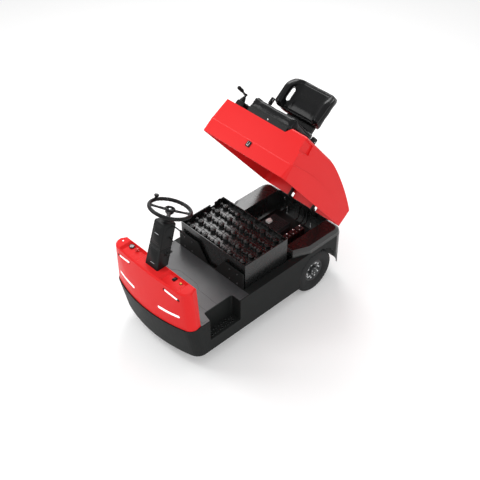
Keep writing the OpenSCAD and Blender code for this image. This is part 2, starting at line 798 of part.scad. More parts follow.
module steering_wheel() {
    ring_r = wheel_d / 2 - wheel_rim_r;
    hub_r = 34;
    color("#232525") from_axle() on_column() {
        rotate_extrude($fn = 72) translate([ring_r, 0]) circle(r = wheel_rim_r, $fn = 24);
        difference() {
            translate([0, 0, -34]) cylinder(r = hub_r, h = 42);
            cylinder(r = hub_r * 0.55, h = 20);
        }
        for (a = spoke_turns) rotate([0, 0, a]) translate([hub_r - 8, -spoke_w / 2, -12])
            cube([ring_r - hub_r + 8, spoke_w, 10]);
        translate([0, 0, -column_top_s - 40]) cylinder(r = shaft_r, h = column_top_s + 40);
    }
}

module spinner_knob() {
    ring_r = wheel_d / 2 - wheel_rim_r;
    color("#1c1e1e") from_axle() on_column() rotate([0, 0, 272]) translate([ring_r, 0, wheel_rim_r + seat_fit]) {
        cylinder(r = 8, h = 8);
        translate([0, 0, 7]) cylinder(r1 = 15, r2 = 19, h = 20);
    }
}

// Lower edge of the hood, or of its cavity, which reaches below it
function hood_foot(i) = hood_z0 - (i > 0 ? 20 : 0);

// Half-width of the hood's sides above the band at height z
function hood_half(z) = hw - 2 - (hood_lean - 2) * (z - hood_z0) / (hood_top_z - hood_edge_r - hood_z0);

// Side outline of the closed hood, drawn in by i all round
function hood_side(i) = let (z1 = hood_top_z - i, x1 = hood_x1 - i, x0 = hood_x0 + i) concat(
    [[x0, hood_foot(i)], [x1, hood_foot(i)], [x1 - 7, hood_step_z], [x1 - 14, hood_step_z + 7],
    [x1 - 21, z1 - 12], [x1 - 30, z1]],
    curve([[420, z1], [150, z1 - 34], [-130, z1 - 134], [x0 + 20, z1 - 213]], 14));

// Cross outline of the closed hood, drawn in by i all round
function hood_cross(i) = let (h = hw - i, z1 = hood_top_z - i, r = hood_edge_r) concat(
    [[2 - h, hood_foot(i)], [h - 2, hood_foot(i)]], arc(h - hood_lean - r, z1 - r, r, 5, 90, 4),
    arc(r - h + hood_lean, z1 - r, r, 90, 175, 4));

module hood_form(i) {
    intersection() {
        side_plate(hw + 1, body_w + 2) polygon(hood_side(i));
        cross_plate(hood_x0 - 1, hood_x1 + 1) polygon(hood_cross(i));
        hood_plan(i);
    }
    hood_band(i);
}

module hood_plan(i) {
    linear_extrude(2 * hood_top_z)
        polygon(round_plan(hood_x0 + i, hood_x1 - i, hw - i, tail_corner_r - i, 45 - i));
}

// Wider foot of the hood's sides, which ends above in a long arc
module hood_band(i) {
    h = hw - i;
    z1 = hood_step_z + 120;
    mid = (hood_x0 + hood_x1) / 2 + 95;
    r = 2850;
    intersection() {
        side_plate(hw + 1, body_w + 2) polygon(hood_side(i));
        side_plate(hw + 1, body_w + 2) polygon(concat([[hood_x1, 0], [hood_x0, 0]],
            arc(mid, hood_step_z + 54 - i - r, r, 104, 76, 20)));
        cross_plate(hood_x0 - 1, hood_x1 + 1) polygon([[-h, hood_foot(i)], [h, hood_foot(i)],
            [h - 16, z1], [16 - h, z1]]);
        hood_plan(i);
    }
}

// Space of the seat pan and of the low right front, grown by g
module seat_pan(g) {
    up = hood_top_z + 30;
    pan_x0 = 330;
    cross_plate(pan_x0 - g, hood_x1 + 20) polygon([[-pan_hw - g, seat_pan_z - g],
        [pan_hw + g, seat_pan_z - g], [pan_hw + g + (up - seat_pan_z) * pan_lean, up],
        [-pan_hw - g - (up - seat_pan_z) * pan_lean, up]]);
    translate([620 - g, -hw - 1, seat_pan_z - g]) cube([hood_x1, hw, up - seat_pan_z + g]);
}

// Shallow flat in the hood's left front corner, grown by g
module corner_flat(g) {
    z0 = hood_step_z + 121;
    z1 = hood_top_z + 20;
    d = corner_flat_d + g;
    intersection() {
        cross_plate(hood_x1 - 160, hood_x1 + 20) polygon([[hood_half(z0) - d, z0 - 20],
            [hood_half(z1) - d, z1], [hw + 1, z1], [hw + 1, z0 - 20]]);
        side_plate(hw + 1, hw) polygon([[hood_x1 + 20, z0 - g], [hood_x1 - 151 - g, z0 + 25 - g],
            [hood_x1 - 142 - g, z0 + 108 + g], [hood_x1 + 20, z0 + 112 + g]]);
    }
}

module hood_shell() {
    slot = [60, hinge_arm_t + 2 * (hinge_gap + hinge_ear_t) + 12, 44];
    color("#e4292a") from_axle() tilted() difference() {
        hood_form(0);
        difference() {
            hood_form(hood_t);
            seat_pan(hood_t);
            corner_flat(hood_t);
        }
        seat_pan(0);
        corner_flat(0);
        both_sides() translate([hood_x0 - 20, hinge_y - slot[1] / 2, hood_z0 - 1]) cube(slot);
    }
}

module hood_arms() {
    rib_h = 52;
    rib_x1 = 250;
    color("#2a2c2c") from_axle() tilted() both_sides() difference() {
        side_plate(hinge_y + hinge_arm_t / 2, hinge_arm_t) {
            translate([-hinge_x, hinge_z]) circle(r = hinge_ear_r);
            polygon([[-hinge_x - 2, hinge_z - hinge_ear_r], [-hinge_x + 50, hinge_z - 4],
                [-hinge_x + 50, hood_z0 + 70], [hood_x0 + hood_t + 16, hood_z0 + 70],
                [hood_x0 + hood_t + 20, hood_z0 + 40]]);
            intersection() {
                difference() {
                    polygon(hood_side(hood_t + seat_fit));
                    polygon(hood_side(hood_t + rib_h));
                }
                translate([hood_x0, hood_z0 + 55]) square([rib_x1 - hood_x0, hood_top_z]);
            }
        }
        translate([-hinge_x, hinge_y + hinge_arm_t, hinge_z]) rotate([90, 0, 0])
            cylinder(r = hinge_pin_r + run_fit, h = 2 * hinge_arm_t);
    }
}

module hood_latch() {
    size = [8, 40, 46];
    rise = 69;
    off_y = 7;
    color("#232525") from_axle() tilted() translate([hood_x1, 0, hood_z0])
        rotate([0, -atan2(7, hood_step_z - hood_z0), 0]) translate([seat_fit, off_y - size[1] / 2, rise])
            cube(size);
}

module seat_base() {
    foot_w = 2 * (pan_hw - 7);
    rest_w = 300;
    rest_t = 30;
    color("#232525") from_axle() tilted() {
        translate([back_x0 - 22, -foot_w / 2, seat_pan_z])
            cube([seat_x1 - back_x0 + 22, foot_w, seat_z1 - cushion_t - seat_pan_z]);
        translate([back_x0 - rest_t, -rest_w / 2, seat_pan_z])
            cube([rest_t, rest_w, back_z0 + 60 - seat_pan_z]);
    }
}

module seat_cushion() {
    r = 34;
    rear_r = 40;
    front_r = 42;
    z0 = seat_z1 - cushion_t;
    x0 = back_x0 + 38;
    color("#2a2b2d") from_axle() tilted() intersection() {
        translate([0, 0, z0]) linear_extrude(cushion_t)
            polygon(round_plan(x0, seat_x1, seat_w / 2, rear_r, front_r));
        side_plate(seat_w, 2 * seat_w) polygon(concat([[x0, z0], [seat_x1, z0]],
            arc(seat_x1 - r, seat_z1 - r, r, 0, 90, 6), [[x0, seat_z1]]));
    }
}

// Side outline of the backrest: upright wings that curve back to the top edge
function back_side() = concat([[back_x0, back_z0], [back_x1 - 24, back_z0],
    [back_x1, back_z0 + 40]], curve([[back_x1, back_z0 + 150], [back_x1 - 2, back_z1 - 90],
    [back_x0 + 92, back_z1 - 14], [back_x0 + back_t - 4, back_z1]], 10), [[back_x0, back_z1]]);

// Curved shell with two wings, each cut by an oblong slot square to its bend
module seat_back() {
    h = back_w / 2;
    top_r = 84;
    foot = 30;
    color("#2a2b2d") from_axle() tilted() difference() {
        intersection() {
            translate([0, 0, back_z0]) linear_extrude(back_z1 - back_z0) difference() {
                polygon(round_plan(back_x0, back_x1, h, back_bend_r, 20));
                polygon(round_plan(back_x0 + back_t, back_x1 + back_w, h - back_t + 8, back_bend_r - 12, 20));
            }
            cross_plate(back_x0 - 1, back_x1 + 1) polygon(concat(
                arc(h - top_r, back_z1 - top_r, top_r, 0, 90, 8),
                arc(top_r - h, back_z1 - top_r, top_r, 90, 180, 8),
                [[-h, back_z0 + foot], [foot - h, back_z0], [h - foot, back_z0], [h, back_z0 + foot]]));
            side_plate(back_w, 2 * back_w) polygon(back_side());
        }
        both_sides() translate([back_x0 + back_slot_x, h - back_slot_in, back_z0 + back_slot_z])
            rotate([0, 0, -back_slot_turn]) cross_plate(-back_w / 2, back_w / 2)
                bar([0, -back_slot_l / 2], [0, back_slot_l / 2], back_slot_w);
    }
}

// Belt buckle on a stalk at the right of the seat and the belt's reel at its left
module belt_buckles() {
    stalk = [22, 12, 150];
    buckle = [36, 20, 62];
    reel = [62, 30, 70];
    y = seat_w / 2 + belt_gap;
    color("#1f2122") from_axle() tilted() {
        translate([belt_x - stalk[0] / 2, -y - stalk[1], hood_top_z]) cube(stalk);
        translate([belt_x - buckle[0] / 2, -y - buckle[1] + 4, hood_top_z + stalk[2] - 1]) cube(buckle);
        translate([belt_x - reel[0] / 2 - 40, y + 8, hood_top_z]) cube(reel);
    }
}

module lever_console() {
    size = [124, 90, 46];
    post = [46, 40, 72];
    lever_r = 8;
    lever_l = 108;
    knob_r = 12;
    knob_l = 34;
    color("#3a3c3e") from_axle() tilted() translate([console_x, console_in - hw, seat_pan_z]) {
        cube(size);
        translate([size[0] * 0.54, size[1] * 0.1, size[2] - 1]) {
            cube(post);
            translate([post[0] / 2, post[1] / 2, post[2] - 6]) rotate([0, 86, 0]) {
                cylinder(r = lever_r, h = lever_l);
                translate([0, 0, lever_l - 1]) cylinder(r = knob_r, h = knob_l);
            }
        }
    }
}

skirt_left();
skirt_right();
bumper_front();
floor_plate();
floor_mat();
step_left();
step_right();
battery_pan();
battery_panel();
battery_case();
battery_cells();
fender_left();
fender_right();
rear_wall();
hinge_brackets();
bay_rails();
bay_shelf();
controller();
contactors();
drive_axle();
drive_motor();
tow_coupling();
tail_lamps();
steer_head();
cowl();
headlamps();
lamp_pockets();
dash_controls();
steering_column();
pedals();
steering_wheel();
spinner_knob();
steer_fork();
front_tyre();
front_rim();
rear_tyre_left();
rear_rim_left();
rear_tyre_right();
rear_rim_right();
hood_shell();
hood_arms();
hood_latch();
seat_base();
seat_cushion();
seat_back();
belt_buckles();
lever_console();
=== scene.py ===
"""Looks of a seat-type electric tow tractor whose seat hood is tilted open, built around its solids."""

import json
import math

import bmesh
import bpy
from mathutils import Matrix, Vector


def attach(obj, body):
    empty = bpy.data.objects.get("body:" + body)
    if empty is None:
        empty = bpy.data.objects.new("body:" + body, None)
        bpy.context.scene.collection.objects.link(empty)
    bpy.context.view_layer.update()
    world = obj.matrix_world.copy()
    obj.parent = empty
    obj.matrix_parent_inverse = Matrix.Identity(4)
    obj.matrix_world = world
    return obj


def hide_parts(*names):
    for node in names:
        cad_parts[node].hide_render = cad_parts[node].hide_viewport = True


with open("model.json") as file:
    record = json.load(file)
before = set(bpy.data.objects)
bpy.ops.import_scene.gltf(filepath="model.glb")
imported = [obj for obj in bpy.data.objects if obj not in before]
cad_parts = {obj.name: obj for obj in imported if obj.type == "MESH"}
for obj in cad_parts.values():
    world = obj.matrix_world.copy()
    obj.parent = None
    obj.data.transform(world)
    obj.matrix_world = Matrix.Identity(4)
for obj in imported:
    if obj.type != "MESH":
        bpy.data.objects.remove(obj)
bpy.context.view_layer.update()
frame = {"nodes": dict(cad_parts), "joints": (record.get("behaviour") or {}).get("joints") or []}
JOINTS = {j["name"]: j for j in frame["joints"]}

# Places are millimetres from the rear axle's middle on the floor, as in the part's source
AXLE_X = JOINTS["rear_left_spin"]["pos_m"][0]
HINGE = Vector(JOINTS["hood_hinge"]["pos_m"])
HOOD_OPEN = math.radians(51)
MM = 0.001

BODY_W = 930
DECK_Z = 472
REAR_TYRE_R = 207.5
REAR_TYRE_W = 112
REAR_TYRE_Y = 402
RIM_BEAD_R = 103
FRONT_TYRE_R = 155
FRONT_TYRE_W = 95
FRONT_BEAD_R = 96
WHEELBASE = 1140
COWL_Z = 866
DASH_Z = 846
WHEEL_CENTRE = (1196, 0, 1319)
COLUMN_LEAN = math.radians(19.5)
HOOD_X1 = 897
HOOD_Z0 = 541
HOOD_TOP_Z = 913
HOOD_FRONT_LEAN = math.atan2(7, 120)
SEAT_W = 480
SEAT_X0 = 500
SEAT_X1 = 868
SEAT_Z0 = 900
SEAT_Z1 = 988
SEAT_PAN_Z = 861
BATTERY_X0 = 291
BATTERY_X1 = 777
BATTERY_W = 774
CELL_Z = 662
BATTERY_RIM_Z = 716
BATTERY_PLATE_X = 801


def at(x, y, z):
    """Point given in millimetres from the rear axle, in the part's frame in metres."""
    return Vector((x * MM + AXLE_X, y * MM, z * MM))


def tilt(point):
    """Point of the closed hood, moved to where the open hood holds it."""
    return HINGE + Matrix.Rotation(-HOOD_OPEN, 3, "Y") @ (point - HINGE)


def on_hood(x, y, z):
    """Point given in millimetres on the closed hood, where the open hood holds it."""
    return tilt(at(x, y, z))


def on_column(x, y, s):
    """Point given in millimetres across and up along the leaning steering axis."""
    turn = Matrix.Rotation(-COLUMN_LEAN, 3, "Y")
    return at(*WHEEL_CENTRE) + turn @ Vector((x * MM, y * MM, s * MM))


# Materials

def new_node(tree, kind, **values):
    node = tree.nodes.new(kind)
    for key, value in values.items():
        if key in node.inputs:
            node.inputs[key].default_value = value
        else:
            setattr(node, key, value)
    return node


def texture_space(tree):
    return tree.nodes.new("ShaderNodeTexCoord").outputs["Object"]


def ranged(tree, source, low, high, to_low, to_high):
    """Maps a value from one range to another."""
    node = new_node(tree, "ShaderNodeMapRange")
    for socket, value in zip(node.inputs[1:5], (low, high, to_low, to_high)):
        socket.default_value = value
    tree.links.new(source, node.inputs["Value"])
    return node.outputs["Result"]


def mixed(tree, factor, first, second):
    """Mixes two colours, given as values or sockets."""
    node = new_node(tree, "ShaderNodeMix", data_type="RGBA")
    tree.links.new(factor, node.inputs[0])
    for socket, value in ((node.inputs[6], first), (node.inputs[7], second)):
        if isinstance(value, bpy.types.NodeSocket):
            tree.links.new(value, socket)
        else:
            socket.default_value = (*value, 1)
    return node.outputs[2]


def scaled(color, factor):
    return tuple(min(1.0, c * factor) for c in color)


def grain_noise(tree, scale, detail=3.0):
    node = new_node(tree, "ShaderNodeTexNoise", Scale=scale, Detail=detail)
    tree.links.new(texture_space(tree), node.inputs["Vector"])
    return node.outputs["Fac"]


def leather_cells(tree, scale):
    """Fine cells with creases between them."""
    node = new_node(tree, "ShaderNodeTexVoronoi", feature="DISTANCE_TO_EDGE", Scale=scale)
    tree.links.new(texture_space(tree), node.inputs["Vector"])
    return node.outputs["Distance"]


def pimples(tree, scale):
    """Even rows of small round bumps."""
    node = new_node(tree, "ShaderNodeTexVoronoi", Scale=scale, Randomness=0.0)
    tree.links.new(texture_space(tree), node.inputs["Vector"])
    return ranged(tree, node.outputs["Distance"], 0.25, 0.45, 1.0, 0.0)


SHADED_SHARE = 0.25


def surface(name, color, spread=0.1, rough=0.4, rough_spread=0.02, cloud=6.0, grain=None, depth=0.0002,
            bevel=0.003, edge=1.0, edge_gain=1.6, painted_shade=None, **fixed):
    """Finish with clouded colour and roughness, a fine grain, and soft edges, lightened as wear and as
    painted highlight.

    A painted shade can darken the colour along the part: its argument holds two places in metres,
    and how dark the colour gets from the second back to the first.
    """
    mat = bpy.data.materials.new(name)
    mat.use_nodes = True
    tree = mat.node_tree
    shader = tree.nodes["Principled BSDF"]
    for key, value in fixed.items():
        shader.inputs[key.replace("_", " ")].default_value = value
    clouds = grain_noise(tree, cloud, 5.0)
    tone = mixed(tree, ranged(tree, clouds, 0.3, 0.7, 0.0, 1.0),
                 scaled(color, 1 - spread), scaled(color, 1 + spread))
    # Painted shade: darker along the part's X towards the first place.
    if painted_shade:
        split = tree.nodes.new("ShaderNodeSeparateXYZ")
        tree.links.new(texture_space(tree), split.inputs[0])
        shade = ranged(tree, split.outputs["X"], painted_shade[0], painted_shade[1], painted_shade[2], 0.0)
        tone = mixed(tree, shade, tone, scaled(color, SHADED_SHARE))
    soft = new_node(tree, "ShaderNodeBevel", samples=4, Radius=bevel)
    flat = tree.nodes.new("ShaderNodeNewGeometry")
    bend = new_node(tree, "ShaderNodeVectorMath", operation="DOT_PRODUCT")
    tree.links.new(soft.outputs["Normal"], bend.inputs[0])
    tree.links.new(flat.outputs["Normal"], bend.inputs[1])
    # Edges lightened in the base colour: partly slight wear, partly a painted highlight.
    edge_wear_and_highlight = ranged(tree, bend.outputs["Value"], 0.995, 0.8, 0.0, edge)
    tree.links.new(mixed(tree, edge_wear_and_highlight, tone, scaled(color, edge_gain)), shader.inputs["Base Color"])
    smear = grain_noise(tree, cloud * 3.1, 4.0)
    tree.links.new(ranged(tree, smear, 0.3, 0.7, rough - rough_spread, rough + rough_spread),
                   shader.inputs["Roughness"])
    bump = new_node(tree, "ShaderNodeBump", Strength=1.0, Distance=depth)
    height = grain(tree) if grain else grain_noise(tree, 900.0)
    tree.links.new(height, bump.inputs["Height"])
    tree.links.new(soft.outputs["Normal"], bump.inputs["Normal"])
    tree.links.new(bump.outputs["Normal"], shader.inputs["Normal"])
    return mat


RED = (0.775, 0.022, 0.023)
BLACK = (0.0088, 0.0098, 0.0096)

# edge and edge_gain set how much each finish's edges are lightened, as wear and as painted highlight.
LOOKS = {
    "red": surface("red_paint", RED, spread=0.03, rough=0.3, rough_spread=0.015, cloud=1.5, depth=0.00001,
                   grain=lambda t: grain_noise(t, 40.0), bevel=0.002, edge=0.4, edge_gain=1.15,
                   Specular_IOR_Level=0.09),
    "skirt": surface("black_skirt", BLACK, rough=0.58, cloud=2.5, depth=0.00004,
                     grain=lambda t: grain_noise(t, 700.0), edge=0.7, edge_gain=2.6, Specular_IOR_Level=0.14),
    "gloss": surface("black_gloss", BLACK, rough=0.27, cloud=2.0, depth=0.000004,
                     grain=lambda t: grain_noise(t, 120.0), bevel=0.004, edge=0.5, edge_gain=2.2,
                     Specular_IOR_Level=0.75),
    "steel": surface("black_steel", BLACK, rough=0.42, depth=0.00002, edge=0.6, edge_gain=2.4,
                     Specular_IOR_Level=0.22),
    "battery": surface("battery_black", (0.0055, 0.006, 0.006), rough=0.27, cloud=6.0, depth=0.000004,
                       bevel=0.002, edge=0.5, edge_gain=2.5, Specular_IOR_Level=0.5),
    "plastic": surface("black_plastic", (0.0062, 0.0066, 0.0068), rough=0.34, depth=0.00002, bevel=0.003,
                       grain=lambda t: grain_noise(t, 1100.0), edge=0.5, edge_gain=3.0,
                       Specular_IOR_Level=0.16),
    "rubber": surface("tyre_rubber", (0.0075, 0.008, 0.0085), spread=0.2, rough=0.68, cloud=18.0,
                      depth=0.0003, grain=lambda t: grain_noise(t, 1400.0), bevel=0.002, edge=0.8,
                      edge_gain=2.4, Specular_IOR_Level=0.3),
    "casting": surface("dark_casting", (0.018, 0.0195, 0.0205), spread=0.18, rough=0.45, cloud=22.0,
                       depth=0.0002, grain=lambda t: grain_noise(t, 420.0), edge=0.8, edge_gain=2.2),
    "vinyl": surface("seat_vinyl", (0.0045, 0.0047, 0.0052), spread=0.12, rough=0.24, cloud=9.0,
                     depth=0.00008, grain=lambda t: leather_cells(t, 330.0), bevel=0.004, edge=0.3,
                     edge_gain=2.4, Specular_IOR_Level=0.15),
    # The mat gets a painted shade, darker towards its rear end beside the battery.
    "mat": surface("mat_rubber", (0.085, 0.086, 0.091), spread=0.08, rough=0.4, cloud=5.0, depth=0.0002,
                   grain=lambda t: pimples(t, 120.0), bevel=0.002, edge=0.3, edge_gain=1.4,
                   painted_shade=(0.28, 0.72, 0.8), Specular_IOR_Level=0.5),
    "alloy": surface("controller_alloy", (0.03, 0.032, 0.034), rough=0.35, cloud=12.0),
    "bright": surface("bright_steel", (0.72, 0.73, 0.74), rough=0.22, cloud=30.0, bevel=0.0012, Metallic=1.0,
                      edge=0.2, edge_gain=1.2),
    "contactor": surface("contactor_red", (0.035, 0.008, 0.008), rough=0.4, cloud=16.0),
    "tail": surface("tail_red", (0.45, 0.01, 0.012), rough=0.16, cloud=20.0, depth=0.0008,
                    grain=lambda t: pimples(t, 160.0), Specular_IOR_Level=0.7),
    "lamp": surface("lamp_white", (0.9, 0.91, 0.92), spread=0.03, rough=0.2, cloud=20.0, depth=0.0004,
                    grain=lambda t: pimples(t, 140.0), edge=0.2, edge_gain=1.05,
                    Emission_Color=(1, 1, 1, 1), Emission_Strength=0.35),
    "white": surface("white_plastic", (0.82, 0.82, 0.8), spread=0.04, rough=0.35, cloud=24.0, bevel=0.001),
    "yellow": surface("amber_lens", (0.75, 0.42, 0.06), rough=0.25, cloud=24.0, bevel=0.001),
    "gauge": surface("gauge_face", (0.32, 0.33, 0.34), rough=0.2, cloud=24.0, bevel=0.0008,
                     Specular_IOR_Level=0.7),
    "red_knob": surface("red_knob", (0.55, 0.02, 0.02), rough=0.3, cloud=24.0, bevel=0.001),
    "seam": surface("mat_seam", (0.012, 0.012, 0.013), rough=0.6, cloud=24.0, bevel=0.0005),
}

NODE_LOOKS = {
    "red": ["cowl", "hood_shell"],
    "skirt": ["skirt_left", "skirt_right", "bumper_front", "step_left", "step_right", "battery_panel"],
    "gloss": ["fender_left", "fender_right", "rear_wall"],
    "steel": ["floor_plate", "battery_pan", "hinge_brackets", "bay_rails", "bay_shelf", "tow_coupling",
              "steer_head", "steer_fork", "hood_arms"],
    "battery": ["battery_case", "battery_cells"],
    "rubber": ["front_tyre", "rear_tyre_left", "rear_tyre_right"],
    "casting": ["rear_rim_left", "rear_rim_right", "front_rim", "drive_axle", "drive_motor"],
    "vinyl": ["seat_cushion", "seat_back"],
    "plastic": ["steering_column", "steering_wheel", "spinner_knob", "dash_controls", "lever_console",
                "belt_buckles", "seat_base", "hood_latch", "pedals", "lamp_pockets"],
    "mat": ["floor_mat"], "alloy": ["controller"], "contactor": ["contactors"], "tail": ["tail_lamps"],
    "lamp": ["headlamps"],
}


def dress_nodes():
    """Gives every solid that stays in view its finish."""
    for look, names in NODE_LOOKS.items():
        for name in names:
            mesh = frame["nodes"][name].data
            mesh.materials.clear()
            mesh.materials.append(LOOKS[look])


# Camera, floor and light

CAMERA_TARGET = Vector((-0.1063, -0.0477, 0.5056))
CAMERA_BACK = Vector((0.5208, 0.5431, 0.6587)).normalized()
CAMERA_DISTANCE = 8.274
CAMERA_LENS = 72.44


def place_camera():
    data = bpy.data.cameras.new("camera")
    data.lens = CAMERA_LENS
    data.sensor_width = 36
    camera = bpy.data.objects.new("camera", data)
    camera.location = CAMERA_TARGET + CAMERA_BACK * CAMERA_DISTANCE
    camera.rotation_mode = "QUATERNION"
    camera.rotation_quaternion = (-CAMERA_BACK).to_track_quat("-Z", "Y")
    bpy.context.scene.collection.objects.link(camera)
    bpy.context.scene.camera = camera


def seen_rays(tree):
    """One for rays that show the background: camera, glossy and transmission rays."""
    path = tree.nodes.new("ShaderNodeLightPath")
    total = path.outputs["Is Camera Ray"]
    for name in ("Is Glossy Ray", "Is Transmission Ray"):
        node = new_node(tree, "ShaderNodeMath", operation="MAXIMUM")
        tree.links.new(total, node.inputs[0])
        tree.links.new(path.outputs[name], node.inputs[1])
        total = node.outputs[0]
    return total


FLOOR_COLOR = (0.92, 0.92, 0.92)
FLOOR_LIFT = 0.14
FLOOR_HALF = 60
FLOOR_DROP = 0.0005
WORLD_LIGHT = 0.72


def lay_floor():
    mesh = bpy.data.meshes.new("floor")
    corners = [(x * FLOOR_HALF, y * FLOOR_HALF, 0) for x, y in ((-1, -1), (1, -1), (1, 1), (-1, 1))]
    mesh.from_pydata(corners, [], [(0, 1, 2, 3)])
    floor = bpy.data.objects.new("floor", mesh)
    floor.location.z = -FLOOR_DROP
    bpy.context.scene.collection.objects.link(floor)
    mat = bpy.data.materials.new("floor")
    mat.use_nodes = True
    tree = mat.node_tree
    shader = tree.nodes["Principled BSDF"]
    shader.inputs["Base Color"].default_value = (*FLOOR_COLOR, 1)
    shader.inputs["Roughness"].default_value = 1.0
    shader.inputs["Specular IOR Level"].default_value = 0.0
    shader.inputs["Emission Color"].default_value = (1, 1, 1, 1)
    tree.links.new(ranged(tree, seen_rays(tree), 0, 1, 0, FLOOR_LIFT), shader.inputs["Emission Strength"])
    mesh.materials.append(mat)


def light_world():
    world = bpy.data.worlds.new("studio")
    world.use_nodes = True
    tree = world.node_tree
    back = tree.nodes["Background"]
    back.inputs["Color"].default_value = (1, 1, 1, 1)
    tree.links.new(ranged(tree, seen_rays(tree), 0, 1, WORLD_LIGHT, 1.0), back.inputs["Strength"])
    bpy.context.scene.world = world


def softbox(name, toward, distance, size, radiance):
    """Square soft light that faces the part's middle from a direction."""
    data = bpy.data.lights.new(name, "AREA")
    data.shape = "SQUARE"
    data.size = size
    data.energy = radiance * math.pi * size * size
    lamp = bpy.data.objects.new(name, data)
    back = Vector(toward).normalized()
    lamp.location = Vector((0, 0, 0.6)) + back * distance
    lamp.rotation_mode = "QUATERNION"
    lamp.rotation_quaternion = (-back).to_track_quat("-Z", "Y")
    bpy.context.scene.collection.objects.link(lamp)


def light_studio():
    light_world()
    softbox("back_right_light", (-0.52, -0.54, 0.72), 5.0, 2.2, 6.2)
    softbox("front_right_light", (0.54, -0.54, 0.72), 5.0, 2.0, 6.4)
    softbox("front_left_light", (0.35, 0.85, 0.45), 6.0, 2.2, 4.6)


bpy.context.scene.view_settings.view_transform = "Standard"
place_camera()
lay_floor()
light_studio()
dress_nodes()


# Mesh helpers

def axes_of(axis):
    """Two directions square to an axis, and the axis itself."""
    w = Vector(axis).normalized()
    side = Vector((1, 0, 0)) if abs(w.x) < 0.8 else Vector((0, 1, 0))
    u = w.cross(side).normalized()
    return u, w.cross(u), w


def rounded(width, height, radius, steps=5):
    """Outline of a rectangle with round corners, about its middle."""
    points = []
    for k, (sx, sy) in enumerate(((1, 1), (-1, 1), (-1, -1), (1, -1))):
        cx, cy = sx * (width / 2 - radius), sy * (height / 2 - radius)
        for i in range(steps + 1):
            turn = math.radians(90 * (k + i / steps))
            points.append((cx + radius * math.cos(turn), cy + radius * math.sin(turn)))
    return points


def shrunk(outline, inset):
    """Closed outline drawn in by a distance along its own normals."""
    result = []
    for i, (x, y) in enumerate(outline):
        ax, ay = outline[i - 1]
        bx, by = outline[(i + 1) % len(outline)]
        length = math.hypot(bx - ax, by - ay) or 1
        result.append((x - inset * (by - ay) / length, y + inset * (bx - ax) / length))
    return result


class Shape:
    """Faces of one piece, each with the number of its finish; lengths in metres."""

    def __init__(self):
        self.verts, self.faces, self.marks = [], [], []

    def add(self, verts, faces, mark=0):
        base = len(self.verts)
        self.verts.extend(verts)
        self.faces.extend(tuple(base + i for i in face) for face in faces)
        self.marks.extend([mark] * len(faces))

    def skin(self, loops, mark=0, closed=False):
        """Skin over loops with equal counts, capped at both ends unless it closes on itself."""
        n, total = len(loops[0]), len(loops)
        faces = []
        for i in range(total if closed else total - 1):
            a, b = i * n, (i + 1) % total * n
            faces += [(a + k, a + (k + 1) % n, b + (k + 1) % n, b + k) for k in range(n)]
        if not closed:
            faces += [tuple(reversed(range(n))), tuple(range((total - 1) * n, total * n))]
        self.add([p for loop in loops for p in loop], faces, mark)

    def lathe(self, origin, axis, profile, steps=28, mark=0):
        """Turned form; profile holds (radius, height) in millimetres from end to end."""
        u, v, w = axes_of(axis)
        turns = [2 * math.pi * k / steps for k in range(steps)]
        self.skin([[origin + (u * math.cos(t) + v * math.sin(t)) * (r * MM) + w * (h * MM) for t in turns]
                   for r, h in profile], mark)

    def tube(self, path, radius, sides=10, mark=0, closed=False, flat=1.0):
        """Round bar along a path, radius in millimetres; flat squeezes its section."""
        loops, normal = [], None
        count = len(path)
        for i, point in enumerate(path):
            ahead = path[(i + 1) % count] if closed else path[min(i + 1, count - 1)]
            behind = path[i - 1] if closed else path[max(i - 1, 0)]
            along = (ahead - behind).normalized()
            if normal is None:
                normal = axes_of(along)[0]
            normal = (normal - along * normal.dot(along)).normalized()
            other = along.cross(normal)
            loops.append([point + (normal * math.cos(t) + other * (flat * math.sin(t))) * (radius * MM)
                          for t in (2 * math.pi * k / sides for k in range(sides))])
        self.skin(loops, mark, closed)

    def slab(self, origin, u, v, outline, height, edge=1.0, mark=0):
        """Plate whose outline lies in the u, v plane and whose upper edge is round, in millimetres."""
        u, v = Vector(u).normalized(), Vector(v).normalized()
        w = u.cross(v)
        steps = ((0, 0), (0, height - edge), (edge * 0.3, height - edge * 0.3), (edge, height))
        self.skin([[origin + (u * a + v * b + w * h) * MM for a, b in shrunk(outline, inset)]
                   for inset, h in steps], mark)

    def bolt(self, origin, axis, size=7, mark=0):
        """Washer, hexagon head and stud end."""
        self.lathe(origin, axis, ((size * 1.25, 0), (size * 1.25, 1.2), (size * 1.15, 1.6)), 20, mark)
        self.lathe(origin, axis, ((size, 1.2), (size, 5.4), (size * 0.86, 6.2)), 6, mark)
        self.lathe(origin, axis, ((size * 0.5, 6), (size * 0.5, 7.6), (size * 0.3, 8.4)), 14, mark)


def curved(points, steps=6):
    """Smooth path through points."""
    ends = [points[0] * 2 - points[1], *points, points[-1] * 2 - points[-2]]
    path = []
    for a, b, c, d in zip(ends, ends[1:], ends[2:], ends[3:]):
        for k in range(steps):
            t = k / steps
            path.append((b * 2 + (c - a) * t + (a * 2 - b * 5 + c * 4 - d) * t * t
                         + (b * 3 - a - c * 3 + d) * t ** 3) * 0.5)
    return path + [points[-1]]


def settle(obj, looks, body, nodes=(), sharp=38):
    """Gives a piece its finishes, its shading and the body that it rides on, and hides the solids it stands
    for.
    """
    mesh = obj.data
    for look in looks:
        mesh.materials.append(LOOKS[look])
    mesh.polygons.foreach_set("use_smooth", [True] * len(mesh.polygons))
    mesh.set_sharp_from_angle(angle=math.radians(sharp))
    mesh.update()
    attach(obj, body)
    if nodes:
        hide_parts(*nodes)


